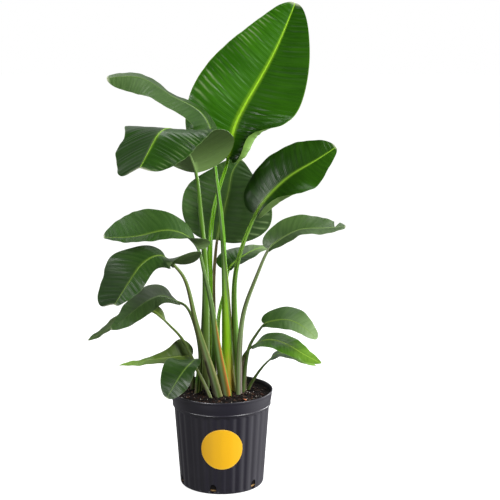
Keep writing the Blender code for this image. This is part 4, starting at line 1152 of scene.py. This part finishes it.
@dataclass(frozen=True)
class PottingMix:
    """Dark potting mix with bark, perlite and fibres on top."""

    pot: NurseryPot
    level: float = 0.229
    lump: float = 0.0016        # half height of the broad waves in its top
    gap: float = 0.0003
    depth: float = 0.192        # of its tapering wall
    rings: int = 110
    segments: int = 300
    seed: int = 7
    fibres: int = 90

    def height(self, x: float, y: float) -> float:
        """The lumpy top of the mix.

        Args:
            x: the place across.
            y: the place along.

        Returns:
            Its height there.
        """
        wave = (sin(140 * x + 1.1) * sin(120 * y + 0.4) + 0.6 * sin(230 * x - 170 * y)
                + 0.4 * sin(310 * y + 90 * x))
        crumbs = noise.fractal(Vector((x, y, 0.3)) * 260, 0.9, 2.1, 4) * 0.0011
        clods = abs(noise.noise(Vector((x, y, 1.7)) * 95)) * 0.0035
        edge = min(1.0, (1 - hypot(x, y) / self.pot.rim) * 8)
        return self.level + (self.lump * wave + clods + crumbs) * edge

    def brim(self) -> float:
        """Radius of the mix where it meets the band.

        Returns:
            The radius.
        """
        band, lip = self.pot.shoulder - self.pot.wall, self.pot.rim - self.pot.wall - 0.0008
        share = (self.level - self.pot.bead + 0.004) / (self.pot.height - 0.002 - self.pot.bead)
        return band + (lip - band) * share - self.gap * 3

    def build(self) -> None:
        """Makes the body of the mix and what lies on it."""
        pot, floor = self.pot, self.pot.floor
        corner = pot.base - pot.wall - self.gap
        profile = [(0, floor + self.gap), (corner - 0.003, floor + self.gap), (corner, floor + 0.004)]
        profile += [(corner + (pot.shoulder - pot.base) * share, floor + 0.004 + self.depth * share)
                    for share in (0.02, 0.05, 0.1, 0.4, 0.7, 1)]
        profile += [(self.brim() * share, self.level) for share in np.linspace(1, 0.006, self.rings)]
        points, faces = turned([*profile, (0, self.level)], self.segments)
        for point in points:
            if point[2] > pot.bead:
                point[2] = self.height(point[0], point[1])
        add_piece("potting_mix", points, faces, PEAT.material(), "soil", "soil", sharp=180)
        self.scatter("bark_chips", 420, (0.0016, 0.0060), 0.42, BARK, 0.25)
        self.scatter("perlite_grains", 150, (0.0007, 0.0019), 0.85, PERLITE, 0.35)
        self.scatter("loose_sliver", 1, (0.009, 0.010), 0.25, BARE_WOOD, 0.2, [(0.060, -0.068)])
        self.lay_fibres()

    def spots(self, count: int, margin: float, draw: np.random.Generator) -> Points:
        """Places spread evenly over the top.

        Args:
            count: how many there are.
            margin: how far they keep from the wall.
            draw: the random draw.

        Returns:
            The places.
        """
        reach = (self.brim() - margin) * np.sqrt(draw.uniform(0, 1, count))
        turns = draw.uniform(0, tau, count)
        return np.stack([reach * np.cos(turns), reach * np.sin(turns)], 1)

    def scatter(self, name: str, count: int, sizes: tuple[float, float], flat: float,
                finish: SpeckledFinish, sink: float, places: Sequence | None = None) -> None:
        """Spreads rough lumps over the top.

        Args:
            name: the piece's name.
            count: how many lumps there are.
            sizes: the smallest and largest half length.
            flat: a lump's thickness over its length.
            finish: its finish.
            sink: how deep it lies, as a share of its size.
            places: where they lie, if not at random.
        """
        draw = np.random.default_rng(self.seed + count)
        sides, tilts = 7, (-pi / 2, -0.65, 0.0, 0.65, pi / 2)
        shape = np.array([(sin(turn) * cos(tilt), cos(turn) * cos(tilt), sin(tilt))
                          for tilt in tilts for turn in np.arange(sides) * tau / sides])
        points, faces = [], []
        for number, (x, y) in enumerate(places or self.spots(count, sizes[1], draw)):
            size = sizes[0] + (sizes[1] - sizes[0]) * draw.uniform(0, 1) ** 2.2
            form = shape * (1, draw.uniform(0.4, 0.8), flat * draw.uniform(0.6, 1.2))
            form *= draw.uniform(0.8, 1.2, shape.shape)
            for pole in (form[:sides], form[-sides:]):
                pole[:] = pole.mean(0)
            turn = Euler((draw.normal(0, 0.35), draw.normal(0, 0.35), draw.uniform(0, tau))).to_matrix()
            lift = self.height(x, y) + size * flat * (0.6 - sink)
            points.append(form @ np.array(turn).T * size + (x, y, lift))
            faces.append(tube(len(tilts), sides)[:, ::-1] + number * len(shape))
        add_piece(name, np.concatenate(points), np.concatenate(faces), finish.material(), "soil", sharp=35)

    def lay_fibres(self) -> None:
        """Lays thin curved root fibres and twigs on the top."""
        draw = np.random.default_rng(self.seed)
        rings, sides = 7, 5
        around = np.arange(sides)[:, None] * tau / sides
        points, faces = [], []
        for x, y in self.spots(self.fibres, 0.016, draw):
            heading, bend = draw.uniform(0, tau), draw.normal(0, 0.5)
            length, thick = draw.uniform(0.006, 0.020), draw.uniform(0.00025, 0.0005)
            angles = heading + bend * np.linspace(0, 1, rings)
            path = (x, y) + np.cumsum(np.stack([np.cos(angles), np.sin(angles)], 1), axis=0) * length / rings
            start = len(points) * sides
            for k, (px, py) in enumerate(path):
                lift = self.height(px, py) + thick + 0.0010 * sin(pi * k / (rings - 1)) * draw.uniform(0.3, 1)
                side = np.array((-sin(angles[k]), cos(angles[k]), 0))
                points.append((px, py, lift) + thick * (np.cos(around) * side + np.sin(around) * (0, 0, 1)))
            end = len(points) * sides
            faces += (tube(rings, sides) + start).tolist()
            faces += [[*range(start, start + sides)][::-1], [*range(end - sides, end)]]
        add_piece("root_fibres", np.concatenate(points), faces, ROOT_FIBRE.material(), "soil")


# ---- Studio --------------------------------------------------------------------------------------------

@dataclass(frozen=True)
class Softbox:
    """A rectangular light that looks at the middle of the plant."""

    name: str
    place: tuple[float, float, float]
    size: tuple[float, float]
    power: float
    glints: bool = False        # only seen where it is mirrored

    def hang(self) -> None:
        """Adds the light."""
        lamp = bpy.data.lights.new(self.name, "AREA")
        lamp.shape = "RECTANGLE"
        lamp.size, lamp.size_y = self.size
        lamp.energy = self.power
        holder = bpy.data.objects.new(self.name, lamp)
        holder.location = self.place
        holder.rotation_euler = (Vector((0, 0, 0.6)) - Vector(self.place)).to_track_quat("-Z", "Y").to_euler()
        holder.visible_diffuse = not self.glints
        bpy.context.scene.collection.objects.link(holder)


@dataclass(frozen=True)
class Studio:
    """A white floor and backdrop, soft lights and the camera."""

    distance: float = 3.0
    height: float = 1.131
    tilt: float = radians(10.15)
    yaw: float = radians(1.36)
    lens: float = 89.06
    front: float = 0.09         # brightness of the room behind the camera
    behind: float = 0.50        # of the white paper behind the plant
    right: float = 0.90         # of the window on the right
    below: float = 0.25         # and of the light that the floor throws up
    floor: float = 60           # size of the floor
    dome: float = 28            # radius of the dome
    sight: float = 100          # how far the camera sees
    floor_grey: Colour = (159.7, 159.7, 159.7)
    softboxes: tuple[Softbox, ...] = (
        Softbox("right", (2.2, -1.8, 2.0), (0.9, 1.6), 134),
        Softbox("left", (-2.6, -1.3, 1.7), (0.6, 1.5), 40),
        Softbox("slim", (-1.45, -2.35, 0.75), (0.3, 1.0), 50, glints=True),
        Softbox("behind", (1.7, 1.0, 0.9), (0.6, 1.4), 40),
        Softbox("top", (0.0, 0.9, 3.2), (2.0, 1.2), 32),
    )

    def build(self) -> None:
        """Sets up the floor, which takes a faint shadow, the dome, the lights, the world and the camera."""
        bpy.ops.mesh.primitive_plane_add(size=self.floor, location=(0, 0, -0.0004))
        self.stage("floor", self.floor_grey, 0.92)
        bpy.ops.mesh.primitive_uv_sphere_add(segments=48, ring_count=24, radius=self.dome)
        self.stage("backdrop", BLACK, 1.0)
        self.surround()
        for softbox in self.softboxes:
            softbox.hang()
        lens = bpy.data.cameras.new("camera")
        lens.lens, lens.clip_end = self.lens, self.sight
        camera = bpy.data.objects.new("camera", lens)
        camera.location = (0, -self.distance, self.height)
        camera.rotation_euler = (radians(90) - self.tilt, 0, -self.yaw)
        scene = bpy.context.scene
        scene.view_settings.view_transform = "Standard"
        scene.collection.objects.link(camera)
        scene.camera = camera

    def surround(self) -> None:
        """Lights the plant from all round: bright from behind, faint from the room, and a glow from below."""
        world = Shader("studio", world=True)
        x, y, z = world.parts(world.place("Generated"))
        room = y.step(-0.1, 0.75) * (self.behind - self.front) + self.front
        light = room + z.step(-0.02, -0.30) * (self.below - room) + x.step(0.45, 0.95) * self.right
        bpy.context.scene.world = world.finish(Color=light)

    def stage(self, name: str, colour: Colour, glow: float) -> None:
        """Makes the object just added part of the studio, which the plant neither mirrors nor is lit by.

        Args:
            name: its name.
            colour: how it takes light.
            glow: how strongly it shines white.
        """
        piece = bpy.context.object
        piece.name = name
        piece.data.materials.append(Shader(f"white_{name}").finish(
            Base_Color=colour, Roughness=1.0, Specular_IOR_Level=0.0, Emission_Color=WHITE,
            Emission_Strength=glow))
        for ray in ("diffuse", "glossy", "transmission", "shadow"):
            setattr(piece, f"visible_{ray}", False)


def main() -> None:
    """Dresses the plant and sets the studio."""
    logging.basicConfig(level=logging.INFO, format="%(name)s %(message)s")
    pot = NurseryPot()
    for part in (pot, RoundLabel(pot), PottingMix(pot)):
        part.build()
    for number, plan in enumerate(LEAF_PLANS):
        LeafPiece(plan, number).build()
    Studio().build()


if __name__ == "__main__":
    main()
